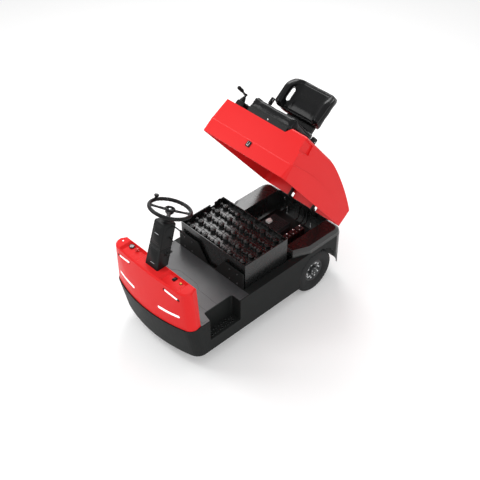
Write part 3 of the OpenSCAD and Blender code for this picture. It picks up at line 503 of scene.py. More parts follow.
def piece(name, shape, looks, body, nodes=(), sharp=38):
    """Turns gathered faces into a piece of the part."""
    mesh = bpy.data.meshes.new(name)
    mesh.from_pydata([tuple(v) for v in shape.verts], [], shape.faces)
    mesh.polygons.foreach_set("material_index", shape.marks)
    work = bmesh.new()
    work.from_mesh(mesh)
    bmesh.ops.recalc_face_normals(work, faces=work.faces)
    work.to_mesh(mesh)
    work.free()
    obj = bpy.data.objects.new(name, mesh)
    bpy.context.scene.collection.objects.link(obj)
    settle(obj, looks, body, nodes, sharp)
    return obj


X, Y, Z = Vector((1, 0, 0)), Vector((0, 1, 0)), Vector((0, 0, 1))


# Wheels

TREAD_STEPS = 8
TREAD_DEPTH = 8
# Half of a tyre's section, as shares of its width and of its height above the bead
TYRE_HALF = ((0.36, 0.0), (0.40, 0.07), (0.465, 0.22), (0.495, 0.42), (0.50, 0.60), (0.492, 0.74),
             (0.472, 0.84), (0.44, 0.92), (0.40, 0.968), (0.36, 0.988), (0.30, 0.996), (0.22, 1.0),
             (0.155, 1.0), (0.15, 0.999), (0.105, 0.999), (0.10, 1.0), (0.05, 1.0))
REAR_LUGS = 40
FRONT_LUGS = 34


def tyre(name, node, body, centre, radius, width, bead, lugs):
    """Tyre with shoulder lugs and two grooves round its tread."""
    section = [(-s, r) for s, r in TYRE_HALF] + [(s, r) for s, r in reversed(TYRE_HALF)]
    steps = lugs * TREAD_STEPS
    loops = []
    for k in range(steps):
        turn = 2 * math.pi * k / steps
        loop = []
        for side, share in section:
            across, r = side * width, bead + share * (radius - bead)
            phase = (k + (TREAD_STEPS // 2 if side > 0 else 0)) % TREAD_STEPS
            if abs(side) > 0.16 and share > 0.8 and phase in (0, 1):
                r -= TREAD_DEPTH * (0.55 if share < 0.9 else 1)
                across *= 0.985
            if 0.1 < abs(side) < 0.152:
                r -= TREAD_DEPTH
            loop.append(centre + Vector((math.cos(turn) * r, across, math.sin(turn) * r)) * MM)
        loops.append(loop)
    shape = Shape()
    shape.skin(loops, closed=True)
    for side in (-1, 1):
        for share, thick in ((0.3, 1.6), (0.55, 1.2)):
            r = bead + share * (radius - bead)
            out = side * width * (0.478 if share < 0.4 else 0.499)
            shape.tube([centre + Vector((math.cos(t) * r, out, math.sin(t) * r)) * MM
                        for t in (2 * math.pi * k / 96 for k in range(96))], thick, 6, closed=True)
    piece(name, shape, ["rubber"], body, [node], sharp=34)


NUT_RING_R = 75
NUT_COUNT = 10


def rear_wheel_trim(name, body, side):
    """Bright wheel nuts, hub cap screws, rim ring and valve on the outer face."""
    shape = Shape()
    middle = at(0, side * REAR_TYRE_Y, REAR_TYRE_R)
    out = Y * side
    for k in range(NUT_COUNT):
        turn = 2 * math.pi * k / NUT_COUNT
        spoke = Vector((math.cos(turn), 0, -math.sin(turn)))
        foot = middle + (spoke * NUT_RING_R + out * 20) * MM
        shape.lathe(foot, out, ((13, 0), (13, 2), (11.5, 3.2)), 20, 0)
        shape.lathe(foot, out, ((10, 2), (10, 13), (8.4, 15)), 6, 0)
        shape.lathe(foot, out, ((5, 14), (5, 17), (3, 18.5)), 12, 0)
    for k in range(5):
        turn = 2 * math.pi * (k + 0.5) / 5
        spoke = Vector((math.cos(turn), 0, math.sin(turn)))
        shape.bolt(middle + (spoke * 28 + out * 46.5) * MM, out, 3.2, 0)
    shape.lathe(middle + out * (46.5 * MM), out, ((19, 0), (19, 2), (16, 4.5), (9, 6), (2, 6.4)), 28, 1)
    shape.tube([middle + (Vector((math.cos(t), 0, math.sin(t))) * 97 + out * 40.5) * MM
                for t in (2 * math.pi * k / 72 for k in range(72))], 2.4, 8, 1, closed=True)
    valve = Vector((math.cos(0.9), 0, math.sin(0.9)))
    shape.tube([middle + (valve * 86 + out * 19) * MM, middle + (valve * 86 + out * 34) * MM,
                middle + (valve * 83 + out * 41) * MM], 3.4, 10, 0)
    piece(name, shape, ["bright", "casting"], body)


def front_wheel_trim():
    """Nuts and grease cap on both faces of the front wheel's rim."""
    shape = Shape()
    for side in (-1, 1):
        middle, out = at(WHEELBASE, 0, FRONT_TYRE_R), Y * side
        for k in range(6):
            turn = 2 * math.pi * k / 6
            spoke = Vector((math.cos(turn), 0, math.sin(turn)))
            shape.bolt(middle + (spoke * 56 + out * 13.6) * MM, out, 6, 0)
        shape.tube([middle + (Vector((math.cos(t), 0, math.sin(t))) * 88 + out * 34) * MM
                    for t in (2 * math.pi * k / 60 for k in range(60))], 2.2, 8, 1, closed=True)
    piece("front_wheel_trim", shape, ["bright", "casting"], "front_wheel")


def build_wheels():
    tyre("tyre_rear_left", "rear_tyre_left", "rear_left_wheel", at(0, REAR_TYRE_Y, REAR_TYRE_R),
         REAR_TYRE_R, REAR_TYRE_W, RIM_BEAD_R, REAR_LUGS)
    tyre("tyre_rear_right", "rear_tyre_right", "rear_right_wheel", at(0, -REAR_TYRE_Y, REAR_TYRE_R),
         REAR_TYRE_R, REAR_TYRE_W, RIM_BEAD_R, REAR_LUGS)
    tyre("tyre_front", "front_tyre", "front_wheel", at(WHEELBASE, 0, FRONT_TYRE_R),
         FRONT_TYRE_R, FRONT_TYRE_W, FRONT_BEAD_R, FRONT_LUGS)
    rear_wheel_trim("wheel_trim_left", "rear_left_wheel", 1)
    rear_wheel_trim("wheel_trim_right", "rear_right_wheel", -1)
    front_wheel_trim()


# Seat

def close_hood(point):
    """Point of the open hood, moved to where the closed hood holds it."""
    return HINGE + Matrix.Rotation(HOOD_OPEN, 3, "Y") @ (point - HINGE)


def swell(obj, rest, cap):
    """Fills a pad with pressure and applies the result, moving no point further than cap metres."""
    cloth = obj.modifiers.new("fill", "CLOTH")
    cloth.settings.quality = 5
    cloth.settings.mass = 0.3
    cloth.settings.tension_stiffness = 12
    cloth.settings.compression_stiffness = 12
    cloth.settings.shear_stiffness = 4
    cloth.settings.bending_stiffness = 0.6
    cloth.settings.use_pressure = True
    cloth.settings.uniform_pressure_force = 4
    cloth.settings.effector_weights.gravity = 0
    cloth.collision_settings.use_collision = False
    cloth.point_cache.frame_start = 1
    cloth.point_cache.frame_end = 20
    scene = bpy.context.scene
    for step in range(1, 21):
        scene.frame_set(step)
    filled = obj.evaluated_get(bpy.context.evaluated_depsgraph_get()).to_mesh()
    moved = []
    for start, vert in zip(rest, filled.vertices):
        shift = vert.co - start
        moved.append(start + shift * min(1, cap / max(shift.length, 1e-9)))
    obj.modifiers.remove(cloth)
    scene.frame_set(1)
    obj.data.vertices.foreach_set("co", [c for co in moved for c in co])
    obj.data.update()


PULLED_TIGHT = 12


def relax(mesh, rounds):
    """Evens out a mesh."""
    work = bmesh.new()
    work.from_mesh(mesh)
    for _ in range(rounds):
        bmesh.ops.smooth_vert(work, verts=work.verts, factor=0.5,
                              use_axis_x=True, use_axis_y=True, use_axis_z=True)
    work.to_mesh(mesh)
    work.free()
    mesh.update()


def pad(name, node, voxel, smoothing, cap, sculpt):
    """Padded piece: the solid's form, softened, filled by pressure and shaped by a sculpting rule."""
    mesh = frame["nodes"][node].data.copy()
    mesh.name = name
    obj = bpy.data.objects.new(name, mesh)
    bpy.context.scene.collection.objects.link(obj)
    mesh.remesh_voxel_size = voxel
    bpy.context.view_layer.objects.active = obj
    with bpy.context.temp_override(object=obj, active_object=obj, selected_objects=[obj]):
        bpy.ops.object.voxel_remesh()
    mesh = obj.data
    normals = [v.normal.copy() for v in mesh.vertices]
    for vert, normal in zip(mesh.vertices, normals):
        vert.co -= normal * (cap * 0.55)
    relax(mesh, smoothing)
    swell(obj, [v.co.copy() for v in mesh.vertices], cap)
    relax(mesh, PULLED_TIGHT)
    normals = [v.normal.copy() for v in mesh.vertices]
    for vert, normal in zip(mesh.vertices, normals):
        vert.co += normal * sculpt(close_hood(vert.co), Matrix.Rotation(HOOD_OPEN, 3, "Y") @ normal)
    mesh.update()
    soft = obj.modifiers.new("soft", "SUBSURF")
    soft.levels = 1
    fine = bpy.data.meshes.new_from_object(obj.evaluated_get(bpy.context.evaluated_depsgraph_get()))
    obj.modifiers.clear()
    obj.data = fine
    fine.materials.clear()
    settle(obj, ["vinyl"], "hood", [node], sharp=180)
    return obj


def bump(value, centre, width):
    """Smooth hill of height one."""
    return math.exp(-((value - centre) / width) ** 2)


def step_between(value, low, high):
    """Smooth rise from nought to one."""
    t = min(1, max(0, (value - low) / (high - low)))
    return t * t * (3 - 2 * t)


def shape_cushion(p, n):
    """Side bolsters, a dished middle and two sewn channels in the cushion's top."""
    x, y = (p.x - AXLE_X) / MM, abs(p.y) / MM
    top = step_between(n.z, 0.3, 0.8)
    bolster = 7 * bump(y, 196, 30) + 4 * bump(x, 836, 30)
    dish = -7 * step_between(180 - y, 0, 60) * step_between(820 - x, 0, 70)
    channel = -4.5 * bump(y, 158, 5) * step_between(820 - x, 0, 10) - 4 * bump(x, 824, 5) * (y < 160)
    return top * (bolster + dish + channel) * MM


def shape_back(p, n):
    """Thick wings, sewn channels and a lumbar roll on the backrest's front."""
    y, z = abs(p.y) / MM, p.z / MM
    front = step_between(n.x, 0.35, 0.8)
    inner = min(168 - y, 1336 - z, z - 1084)
    border = -5 * bump(inner, 0, 6)
    lumbar = 8 * bump(z, 1140, 44) * step_between(150 - y, 0, 60)
    wing = 13 * step_between(y, 168, 204) * step_between(1330 - z, 0, 90)
    flank = 9 * step_between(abs(n.y), 0.3, 0.9) * step_between(y, 150, 200)
    return (front * (border + lumbar + wing) + flank) * MM


def cast(target, start, toward):
    """Place where a ray meets a piece."""
    hit, place, normal, _ = target.ray_cast(start, toward)
    return (place, normal) if hit else (None, None)


def piping(shape, target, starts, toward, radius, lift=0.3, mark=0, closed=True):
    """Cord sewn on a pad, laid where rays from its starting points meet it."""
    path = []
    for start in starts:
        place, normal = cast(target, start, toward)
        if place is not None:
            path.append(place + normal * (radius * lift * MM))
    if len(path) > 3:
        shape.tube(path, radius, 8, mark, closed)


def dense(outline, gap):
    """Closed outline with a point about every gap."""
    points = []
    for (ax, ay), (bx, by) in zip(outline, outline[1:] + outline[:1]):
        count = max(1, round(math.hypot(bx - ax, by - ay) / gap))
        points += [(ax + (bx - ax) * k / count, ay + (by - ay) * k / count) for k in range(count)]
    return points


def build_seat():
    down = Matrix.Rotation(-HOOD_OPEN, 3, "Y") @ -Z
    rearward = Matrix.Rotation(-HOOD_OPEN, 3, "Y") @ -X
    cushion = pad("cushion_pad", "seat_cushion", 0.006, 6, 0.009, shape_cushion)
    back = pad("backrest_pad", "seat_back", 0.005, 7, 0.008, shape_back)
    seams = Shape()
    mid_x = (SEAT_X0 + SEAT_X1) / 2
    rim = dense(rounded(SEAT_X1 - SEAT_X0 - 44, SEAT_W - 26, 44), 8)
    piping(seams, cushion, [on_hood(mid_x - 8 + a, b, SEAT_Z1 + 90) for a, b in rim], down, 3.6)
    for side in (-1, 1):
        channel = [on_hood(x, side * 158, SEAT_Z1 + 90) for x in range(528, 815, 8)]
        piping(seams, cushion, channel, down, 1.5, 0.0, closed=False)
    border = dense(rounded(336, 252, 60), 8)
    piping(seams, back, [on_hood(760, a, 1210 + b) for a, b in border], rearward, 2.0, 0.1)
    piece("seat_seams", seams, ["vinyl"], "hood", sharp=180)


# Parts on the hood

def tilt_dir(x, y, z):
    return Matrix.Rotation(-HOOD_OPEN, 3, "Y") @ Vector((x, y, z))


LATCH_Y = 7
LATCH_RISE = 92


def build_latch():
    """Dark plate with a recess and a light pull loop on the hood's front."""
    shape = Shape()
    lean = HOOD_FRONT_LEAN
    up = tilt_dir(-math.sin(lean), 0, math.cos(lean))
    out = tilt_dir(math.cos(lean), 0, math.sin(lean))
    foot = on_hood(HOOD_X1, LATCH_Y, HOOD_Z0) + (up * LATCH_RISE + out * 0.3) * MM
    shape.slab(foot, Y, up, rounded(44, 50, 8), 4, 1.4, 0)
    for s in (-1, 1):
        shape.slab(foot + (Y * (s * 17) + out * 3) * MM, Y, up, rounded(8, 42, 3), 4, 1.2, 0)
    half_loop = ((-9, 13, 4), (-9, 12, 9), (-9, -8, 10), (-5, -14, 10))
    loop = half_loop + tuple((-a, b, c) for a, b, c in reversed(half_loop))
    shape.tube(curved([foot + (Y * a + up * b + out * c) * MM for a, b, c in loop], 4), 2.4, 8, 1)
    piece("latch_pull", shape, ["plastic", "bright"], "hood", ["hood_latch"])


BELT_X = 591
BELT_Y = SEAT_W / 2 + 12


def build_belt():
    """Buckle on a stalk at the seat's right and the belt's reel at its left."""
    shape = Shape()
    ahead, up, left = tilt_dir(1, 0, 0), tilt_dir(0, 0, 1), Y
    for rise, width in ((0, 30), (150, 22)):
        collar = on_hood(BELT_X, -BELT_Y - 6, HOOD_TOP_Z + rise * 0.98)
        shape.lathe(collar, up, ((width * 0.5, 0), (width * 0.5, 5)), 16, 0)
    stalk = [on_hood(BELT_X + 4 * math.sin(k / 6 * math.pi), -BELT_Y - 6, HOOD_TOP_Z + 26 * k)
             for k in range(7)]
    shape.tube(stalk, 9, 10, 0, flat=0.6)
    body = on_hood(BELT_X, -BELT_Y - 16, 1064)
    shape.slab(body, up, ahead, rounded(66, 38, 9), 20, 3, 0)
    shape.slab(body + (up * 30 + left * 5) * MM, left, ahead, rounded(9, 28, 3), 3.2, 0.8, 1)
    shape.slab(body + (up * 14 + left * 19.6) * MM, up, ahead, rounded(22, 26, 5), 2.4, 0.8, 1)
    reel = on_hood(BELT_X - 40, BELT_Y + 9, 948)
    shape.slab(reel, up, ahead, rounded(70, 60, 14), 27, 4, 0)
    shape.lathe(reel + left * (26 * MM), left, ((19, 0), (19, 4), (15, 6), (4, 6)), 24, 0)
    shape.bolt(reel + left * (31 * MM), left, 4, 1)
    piece("belt_parts", shape, ["plastic", "bright"], "hood", ["belt_buckles"])


CONSOLE = (690, 66 - BODY_W / 2, SEAT_PAN_Z)


def build_console():
    """Rounded console with a bellows boot, a lever with a round end and two small switches."""
    shape = Shape()
    x0, y0, z0 = CONSOLE
    ahead, up, left = tilt_dir(1, 0, 0), tilt_dir(0, 0, 1), Y
    shape.slab(on_hood(x0 + 62, y0 + 45, z0), ahead, left, rounded(124, 90, 16), 52, 9, 0)
    for k in range(2):
        foot = on_hood(x0 + 22 + 24 * k, y0 + 62, z0 + 51.5)
        shape.slab(foot, ahead, left, rounded(16, 24, 4), 5, 1.5, 0)
        shape.slab(foot + up * (4.5 * MM), ahead, left, rounded(10, 14, 3), 4, 1.5, 1)
    boot = on_hood(x0 + 90, y0 + 29, z0 + 45)
    bellows = [(30 - 2.1 * k + (2.6 if k % 2 else -1.5), 6 * k) for k in range(9)]
    shape.lathe(boot, up, [(32, -1), *bellows, (10, 54)], 28, 0)
    head = boot + up * (66 * MM)
    shape.lathe(boot + up * (50 * MM), up, ((9, 0), (9, 14), (12, 18), (12, 26), (7, 30)), 20, 0)
    arm = curved([head + (ahead * a + up * b) * MM for a, b in ((0, 0), (40, 3), (108, 8))], 8)
    shape.tube(arm, 9.5, 14, 0)
    tip = arm[-1]
    grip = ((9, -46), (14, -38), (16, -22), (15, -4), (16, 10), (16.5, 24), (13, 33), (5, 37))
    shape.lathe(tip - ahead * (2 * MM), ahead, grip, 22, 0)
    shape.lathe(tip + ahead * (6 * MM), ahead, ((16.4, 0), (17, 2), (16.4, 4)), 22, 1)
    piece("lever_set", shape, ["plastic", "steel"], "hood", ["lever_console"])


def build_seat_base_trim():
    """Screws and slide rails on the black strip below the cushion, and the cushion's board."""
    shape = Shape()
    ahead = tilt_dir(1, 0, 0)
    shape.bolt(on_hood(SEAT_X1, 12, 880), ahead, 5, 0)
    board = on_hood((SEAT_X0 + SEAT_X1) / 2, 0, SEAT_Z0 - 8)
    shape.slab(board, ahead, Y, rounded(SEAT_X1 - SEAT_X0 - 16, SEAT_W - 20, 30), 30, 4, 1)
    for side in (-1, 1):
        rail = on_hood(665, side * 198, SEAT_PAN_Z + 14)
        shape.slab(rail, ahead, Y, rounded(400, 22, 4), 10, 2, 1)
        for x in (500, 640, 800):
            shape.bolt(on_hood(x, side * 212.4, 882), Y * side, 5, 0)
    piece("seat_base_trim", shape, ["bright", "steel"], "hood")


# Steering and dash

def build_steering_wheel():
    """Rim with finger grips, a raised hub ring, three spokes and a spinner knob."""
    shape = Shape()
    ring_r, rim_r, steps, sides = 163, 15.5, 180, 20
    loops = []
    for k in range(steps):
        turn = 2 * math.pi * k / steps
        loop = []
        for i in range(sides):
            bend = 2 * math.pi * i / sides
            grip = 0.9 * math.cos(30 * turn) * max(0, -math.cos(bend - 0.9))
            r = rim_r + min(0, grip - 0.5) if grip else rim_r
            across = ring_r + r * math.cos(bend)
            loop.append(on_column(across * math.cos(turn), across * math.sin(turn), r * math.sin(bend)))
        loops.append(loop)
    shape.skin(loops, 0, closed=True)
    up = on_column(0, 0, 1) - on_column(0, 0, 0)
    hub = on_column(0, 0, 0)
    shape.lathe(hub, up, ((16, -135), (16, -40), (24, -38), (33, -30), (36, -14), (40, -8), (41, 4),
                          (38, 9), (32, 10), (27, 7), (24, -4), (8, -6)), 40, 0)
    shape.lathe(hub, up, ((11, -6), (11, 2), (9, 4)), 6, 1)
    for turn_deg in (42, 132, 312):
        turn = math.radians(turn_deg)
        spoke, side = (math.cos(turn), math.sin(turn)), (-math.sin(turn), math.cos(turn))
        loops = []
        for k in range(13):
            t = k / 12
            r = 32 + (ring_r - 32) * t
            half = 19 - 6 * math.sin(math.pi * t) if t < 0.9 else 15
            rise = -7 + 6 * t * t
            loop = []
            for a, b in rounded(2 * half, 11, 5, 3):
                loop.append(on_column(spoke[0] * r + side[0] * a, spoke[1] * r + side[1] * a, rise + b))
            loops.append(loop)
        shape.skin(loops, 0)
        mid = on_column(spoke[0] * 90, spoke[1] * 90, -0.5)
        across = on_column(side[0], side[1], 0) - hub
        along = on_column(spoke[0], spoke[1], 0) - hub
        shape.slab(mid, along, across, rounded(70, 12, 5), 2.4, 1.0, 0)
    turn = math.radians(272)
    knob = on_column(ring_r * math.cos(turn), ring_r * math.sin(turn), rim_r - 1)
    shape.lathe(knob, up, ((13, 0), (13, 3), (8, 4), (8, 9), (14, 12), (19, 19), (20, 25), (17, 30),
                           (8, 32)), 28, 0)
    piece("steering_wheel_dressed", shape, ["plastic", "bright"], "steering_wheel",
          ["steering_wheel", "spinner_knob"])


COLUMN_BASE_X = WHEEL_CENTRE[0] + (WHEEL_CENTRE[2] - COWL_Z) * math.tan(COLUMN_LEAN) + 6
COLUMN_BASE = (114, 148)
COLUMN_TOP = (128, 122)
COLUMN_TOP_BACK = 43
COLUMN_TOP_S = -95


def column_ring(share, grow, corner):
    """Outline of the column at a share of its height, grown all round."""
    loop = []
    low = rounded(COLUMN_BASE[0] + 2 * grow, COLUMN_BASE[1] + 2 * grow, corner, 4)
    high = rounded(COLUMN_TOP[0] + 2 * grow, COLUMN_TOP[1] + 2 * grow, corner, 4)
    for (a, b), (c, d) in zip(low, high):
        foot = at(COLUMN_BASE_X + a, b, COWL_Z)
        head = on_column(COLUMN_TOP[0] / 2 - COLUMN_TOP_BACK + c, d, COLUMN_TOP_S)
        loop.append(foot.lerp(head, share))
    return loop


def column_point(share, across, out, side):
    """Point on the column's left face or front face."""
    if side == "left":
        half = COLUMN_BASE[1] / 2 * (1 - share) + COLUMN_TOP[1] / 2 * share
        foot = at(COLUMN_BASE_X + across, 0, COWL_Z)
        head = on_column(COLUMN_TOP[0] / 2 - COLUMN_TOP_BACK + across, 0, COLUMN_TOP_S)
        return foot.lerp(head, share) + Y * ((half + out) * MM)
    foot = at(COLUMN_BASE_X + COLUMN_BASE[0] / 2 + out, across, COWL_Z)
    head = on_column(COLUMN_TOP[0] - COLUMN_TOP_BACK + out, across, COLUMN_TOP_S)
    return foot.lerp(head, share)


def build_column():
    """Column with soft edges, ledges, a front panel, a collar, stalk, knob and key."""
    shape = Shape()
    plan = ((0, 0, 9), (0.43, -0.5, 9), (0.437, -4, 9), (0.45, -4, 9), (0.457, -1, 9), (0.96, -1, 11),
            (0.985, -3, 13), (1.0, -9, 14))
    shape.skin([column_ring(*row) for row in plan], 0)
    up = on_column(0, 0, 1) - on_column(0, 0, 0)
    collar = ((44, 0), (42, 6), (33, 10), (30, 22), (25, 24))
    shape.lathe(on_column(0, 0, COLUMN_TOP_S - 1), up, collar, 36, 0)
    rise = (column_point(1, 0, 0, "front") - column_point(0, 0, 0, "front")).normalized()
    for low, high in ((0.1, 0.4), (0.52, 0.92)):
        mid = column_point((low + high) / 2, 0, -2.5, "front")
        tall = (column_point(high, 0, 0, "front") - column_point(low, 0, 0, "front")).length / MM
        shape.slab(mid, Y, rise, rounded(96, tall, 12), 2.6, 1.4, 0)
        shape.slab(mid, Y, rise, rounded(70, tall - 30, 8), 3.8, 1.0, 0)
        side = column_point((low + high) / 2, 0, -2.5, "left")
        shape.slab(side, rise, X, rounded(tall, 84, 12), 2.6, 1.4, 0)
    for share, across in ((0.11, 8), (0.74, -4)):
        shape.slab(column_point(share, across, 0.6, "front"), Y, rise, rounded(44, 5, 2), 2.6, 1, 2)
    stalk = curved([at(1226, 58, 1206), at(1219, 104, 1199), at(1208, 152, 1178)], 8)
    shape.tube(stalk, 5.5, 12, 0)
    handle = ((5.5, -6), (9.5, -3), (10.5, 16), (8.5, 27), (3, 30))
    shape.lathe(stalk[-1], stalk[-1] - stalk[-3], handle, 18, 0)
    small = curved([column_point(0.66, -22, -6, "left"), column_point(0.68, -22, 14, "left"),
                    column_point(0.63, -22, 30, "left")], 6)
    shape.tube(small, 6, 12, 0)
    knob = column_point(0.33, -8, -1, "left")
    shape.lathe(knob, Y, ((21, 0), (21, 5), (18, 8), (15, 9), (15, 20), (12, 24), (3, 24.6)), 26, 0)
    key = column_point(0.26, -34, -1, "left")
    shape.lathe(key, Y, ((12, 0), (12, 5), (9, 7), (9, 12)), 20, 0)
    shape.slab(key + Y * (11 * MM), X, Z, rounded(4, 18, 1.5), 16, 1.2, 0)
    piece("column_dressed", shape, ["plastic", "bright", "gauge"], "chassis",
          ["steering_column"])


DASH_X = 1366


def build_dash():
    """Gauge with plain ticks, red knob, rocker switch, amber lamp and pad screws."""
    shape = Shape()
    gauge = at(DASH_X, -302, DASH_Z)
    shape.lathe(gauge, Z, ((22, 0), (22, 9), (20.5, 12), (18.5, 12), (18, 9.5), (3, 9.4)), 36, 0)
    shape.lathe(gauge, Z, ((17.8, 8.5), (17.6, 9.9), (2, 10)), 32, 1)
    for k in range(9):
        turn = math.radians(150 + 30 * k)
        spoke = Vector((math.cos(turn), math.sin(turn), 0))
        shape.slab(gauge + (spoke * 14 + Z * 10) * MM, spoke, Z.cross(spoke), rounded(4.5, 1.2, 0.3, 2),
                   0.6, 0.2, 5)
    shape.slab(gauge + Vector((3, -3, 10)) * MM, Vector((1, -1, 0)), Vector((1, 1, 0)),
               rounded(15, 1.6, 0.5, 2), 1, 0.3, 2)
    knob = at(DASH_X, -236, DASH_Z)
    shape.lathe(knob, Z, ((15, 0), (15, 3), (10, 4), (8, 10), (13, 13), (15, 18), (13, 22), (5, 24)), 28, 2)
    switch = at(DASH_X, 219, DASH_Z)
    shape.slab(switch, X, Y, rounded(44, 28, 5), 5, 1.5, 0)
    shape.slab(switch + Z * (4 * MM), Vector((1, 0, 0.28)), Y, rounded(34, 20, 3), 7, 1.5, 0)
    lamp = at(DASH_X, 289, DASH_Z)
    shape.lathe(lamp, Z, ((12, 0), (12, 3), (10, 4)), 24, 0)
    shape.lathe(lamp, Z, ((9.5, 3), (9.2, 6), (7, 8.6), (2, 9.4)), 24, 3)
    shape.lathe(at(1384, -390, COWL_Z - 0.3), Z, ((8, 0), (8, 1.5), (5.5, 2.6), (1, 2.8)), 20, 4)
    piece("dash_set", shape, ["plastic", "gauge", "red_knob", "yellow", "bright", "white"], "chassis",
          ["dash_controls"])


PEDAL_X = 1234
PEDAL_Y = (-60, -190)
PEDAL_LEAN = math.radians(38)


def build_pedals():
    """Rubber ribs on both pedal plates."""
    shape = Shape()
    lean = PEDAL_LEAN
    up = Vector((math.sin(lean), 0, math.cos(lean)))
    back = Vector((-math.cos(lean), 0, math.sin(lean)))
    for y in PEDAL_Y:
        foot = at(PEDAL_X, y, DECK_Z + 18)
        for k in range(6):
            rib = foot + (up * (16 + 15 * k) + back * 0.2) * MM
            shape.slab(rib, Y, up, rounded(66, 7, 2.5, 3), 3.0, 1.2, 0)
    piece("pedal_ribs", shape, ["rubber"], "chassis")


# Battery and bay

CELLS = 5
CELL_L = (BATTERY_X1 - BATTERY_X0 - 12) / CELLS
CELL_W = (BATTERY_W - 12) / CELLS
CAP_TOP = CELL_Z + 25
POST_TOP = CELL_Z + 20


VENT_CAP = ((25.6, 0), (26, 3), (24.5, 6.5), (20, 8.5), (12, 9.2), (10.5, 12.5), (7.5, 14), (2, 14.2))


def build_battery_tops():
    """Vent caps, terminal bolts and link straps on the cells."""
    shape = Shape()
    for i in range(CELLS):
        for j in range(CELLS):
            x = BATTERY_X0 + 6 + CELL_L * (i + 0.5)
            y = 6 - BATTERY_W / 2 + CELL_W * (j + 0.5)
            shape.lathe(at(x, y, CAP_TOP - 3), Z, VENT_CAP, 24, 0)
            for s in (-1, 1):
                post = at(x, y + s * CELL_W * 0.33, POST_TOP - 1)
                shape.lathe(post, Z, ((13.5, 0), (13.5, 3), (12.5, 4)), 20, 0)
                shape.lathe(post, Z, ((9, 3.6), (9, 9.6), (7.4, 11)), 6, 1)
            if j < CELLS - 1:
                link = at(x, y + CELL_W * 0.5, POST_TOP - 9)
                shape.slab(link, X, Y, rounded(20, CELL_W * 0.34 - 18, 4), 8, 2.4, 0)
    piece("battery_tops", shape, ["battery", "casting"], "chassis")


def build_battery_trim():
    """Lifting eyes on the rim and bolts on the plate in front."""
    shape = Shape()
    for side in (-1, 1):
        for x in (BATTERY_X0 + 60, BATTERY_X1 - 60):
            foot = at(x, side * (BATTERY_W / 2 - 6), BATTERY_RIM_Z - 16)
            arch = [foot + Vector((26 * math.cos(t), side * -4, 26 * math.sin(t))) * MM
                    for t in (math.pi * k / 12 for k in range(13))]
            shape.tube(arch, 4.5, 10, 0)
    for y in (-320, -230, 230, 320):
        for z in (600, 500):
            shape.bolt(at(BATTERY_PLATE_X, y, z), X, 6, 1)
    piece("battery_trim", shape, ["steel", "casting"], "chassis")


def build_bay():
    """White plug, pipes, bright clips and screws around the controller."""
    shape = Shape()
    plug = at(-6, -117, 420)
    for k in range(3):
        shape.slab(plug + Y * ((k - 1) * 15 * MM), X, Y, rounded(46, 10, 2), 22 + 8 * (k % 2), 1.2, 0)
    for y, z0, z1 in ((-200, 286, 372), (-233, 430, 456), (96, 300, 350)):
        shape.slab(at(-326, y, (z0 + z1) / 2), Y, Z, rounded(10, z1 - z0, 3, 3), 3, 1, 1)
    for y in (-40, 20, 60):
        pipe = [at(-322, y, 470), at(-316, y, 450), at(-316, y, 380), at(-300, y, 345), at(-270, y, 335)]
        shape.tube(curved(pipe, 5), 6, 10, 2)
    for y in (-155, -120, -85, -50, -15):
        shape.bolt(at(60, y, 419), Z, 5, 1)
    for k in range(3):
        x = -180 + k * 80 + 29
        shape.lathe(at(x, 121, 434), Z, ((9, 0), (9, 5), (6, 8), (2, 9)), 16, 1)
        for s in (-18, 18):
            shape.bolt(at(x + s, 136, 411), Z, 4, 1)
    piece("bay_fittings", shape, ["white", "bright", "plastic"], "chassis")


# Floor, steps and rear end

def line_strip(shape, points, width=2.2, mark=0):
    """Low seam along straight runs on the mat."""
    for a, b in zip(points, points[1:]):
        start, end = at(*a, DECK_Z - 0.4), at(*b, DECK_Z - 0.4)
        along = (end - start).normalized()
        side = Z.cross(along)
        outline = rounded((end - start).length / MM + width, width, width * 0.45, 2)
        shape.slab((start + end) / 2, along, side, outline, 0.9, 0.3, mark)


STEP_EDGE_Y = BODY_W / 2 - 106


def build_mat_seams():
    """Seams of the mat around the driver's place and at its edges."""
    shape = Shape()
    front = [(1065, -STEP_EDGE_Y), (1063, -205), (1040, -178), (1019, -142), (1023, 77), (1060, 136),
             (1065, STEP_EDGE_Y)]
    line_strip(shape, front)
    for side in (-1, 1):
        line_strip(shape, [(1177, side * 230), (1177, side * STEP_EDGE_Y)])
        line_strip(shape, [(1240, side * 440), (1290, side * 440), (1290, side * 392)])
        line_strip(shape, [(806, side * 440), (890, side * 440)])
    piece("mat_seams", shape, ["seam"], "chassis")


STEP_X0 = 902
STEP_X1 = 1206
STEP_TREAD_Z = 258.6
DRAIN_RIM = ((12.5, 0), (12, 2.2), (10.6, 3.2), (9.3, 2.4), (9.1, 0))
GRIP_DOME = ((6, 0), (5, 1.8), (2.6, 3), (0.6, 3.3))


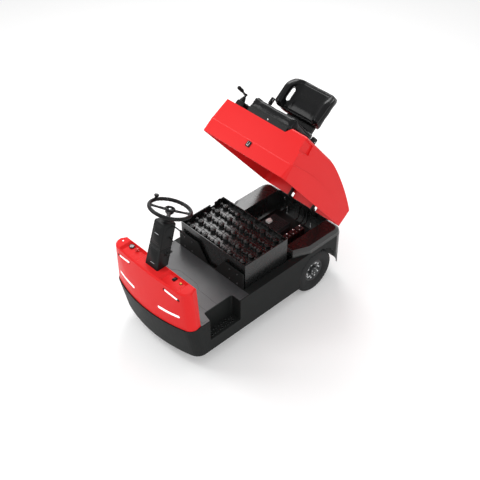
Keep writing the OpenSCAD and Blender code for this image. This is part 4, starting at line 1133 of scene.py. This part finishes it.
def build_steps():
    """Raised rims round the drain holes and grip domes between them."""
    shape = Shape()
    span = STEP_X1 - STEP_X0
    for side in (-1, 1):
        for i in range(5):
            for j in range(2):
                x = STEP_X0 + (i + 0.7 + 0.3 * j) * span / 5.4
                y = STEP_EDGE_Y + 30 + 40 * j
                shape.lathe(at(x, side * y, STEP_TREAD_Z), Z, DRAIN_RIM, 20, 0)
                if i < 4:
                    shape.lathe(at(x + span / 10.8, side * (y + 4), STEP_TREAD_Z), Z, GRIP_DOME, 14, 0)
    piece("step_grips", shape, ["casting"], "chassis")


TAIL_X = 336


def build_tail():
    """Lamp lenses, plate bolts and a rubber strip on the rear wall."""
    lamps = Shape()
    fender_y = BODY_W / 2 - 172
    for side in (-1, 1):
        middle = at(-TAIL_X, side * (fender_y + 31), 394)
        lamps.slab(middle, Z, Y, rounded(100, 66, 9), 5, 1.5, 0)
        lamps.slab(middle + Z * (21 * MM) - X * (4 * MM), Z, Y, rounded(46, 54, 6), 10, 3, 1)
        lamps.slab(middle - Z * (14 * MM) - X * (4 * MM), Z, Y, rounded(20, 54, 6), 10, 3, 2)
        lamps.slab(middle - Z * (36 * MM) - X * (4 * MM), Z, Y, rounded(18, 54, 6), 10, 3, 3)
    piece("tail_lamp_set", lamps, ["plastic", "tail", "yellow", "white"], "chassis",
          ["tail_lamps"])
    shape = Shape()
    back = -X
    for y in (-62, 62):
        for z in (252, 412):
            shape.bolt(at(-TAIL_X - 12, y, z), back, 8, 0)
    for y in (-230, -150, 150, 230):
        shape.bolt(at(-TAIL_X, y, 190), back, 6, 1)
    for side in (-1, 1):
        for z in (450, 480):
            shape.bolt(at(-TAIL_X, side * 138, z), back, 6, 1)
    piece("tail_bolts", shape, ["bright", "steel"], "chassis")
    strip = Shape()
    strip.slab(at(-TAIL_X, 0, 162), Z, Y, rounded(34, 640, 10), 9, 3, 0)
    for y in range(-280, 281, 140):
        strip.bolt(at(-TAIL_X - 8.6, y, 162), back, 5, 1)
    piece("tail_strip", strip, ["rubber", "steel"], "chassis")


build_wheels()
build_seat()
build_latch()
build_belt()
build_console()
build_seat_base_trim()
build_steering_wheel()
build_column()
build_dash()
build_pedals()
build_battery_tops()
build_battery_trim()
build_bay()
build_mat_seams()
build_steps()
build_tail()
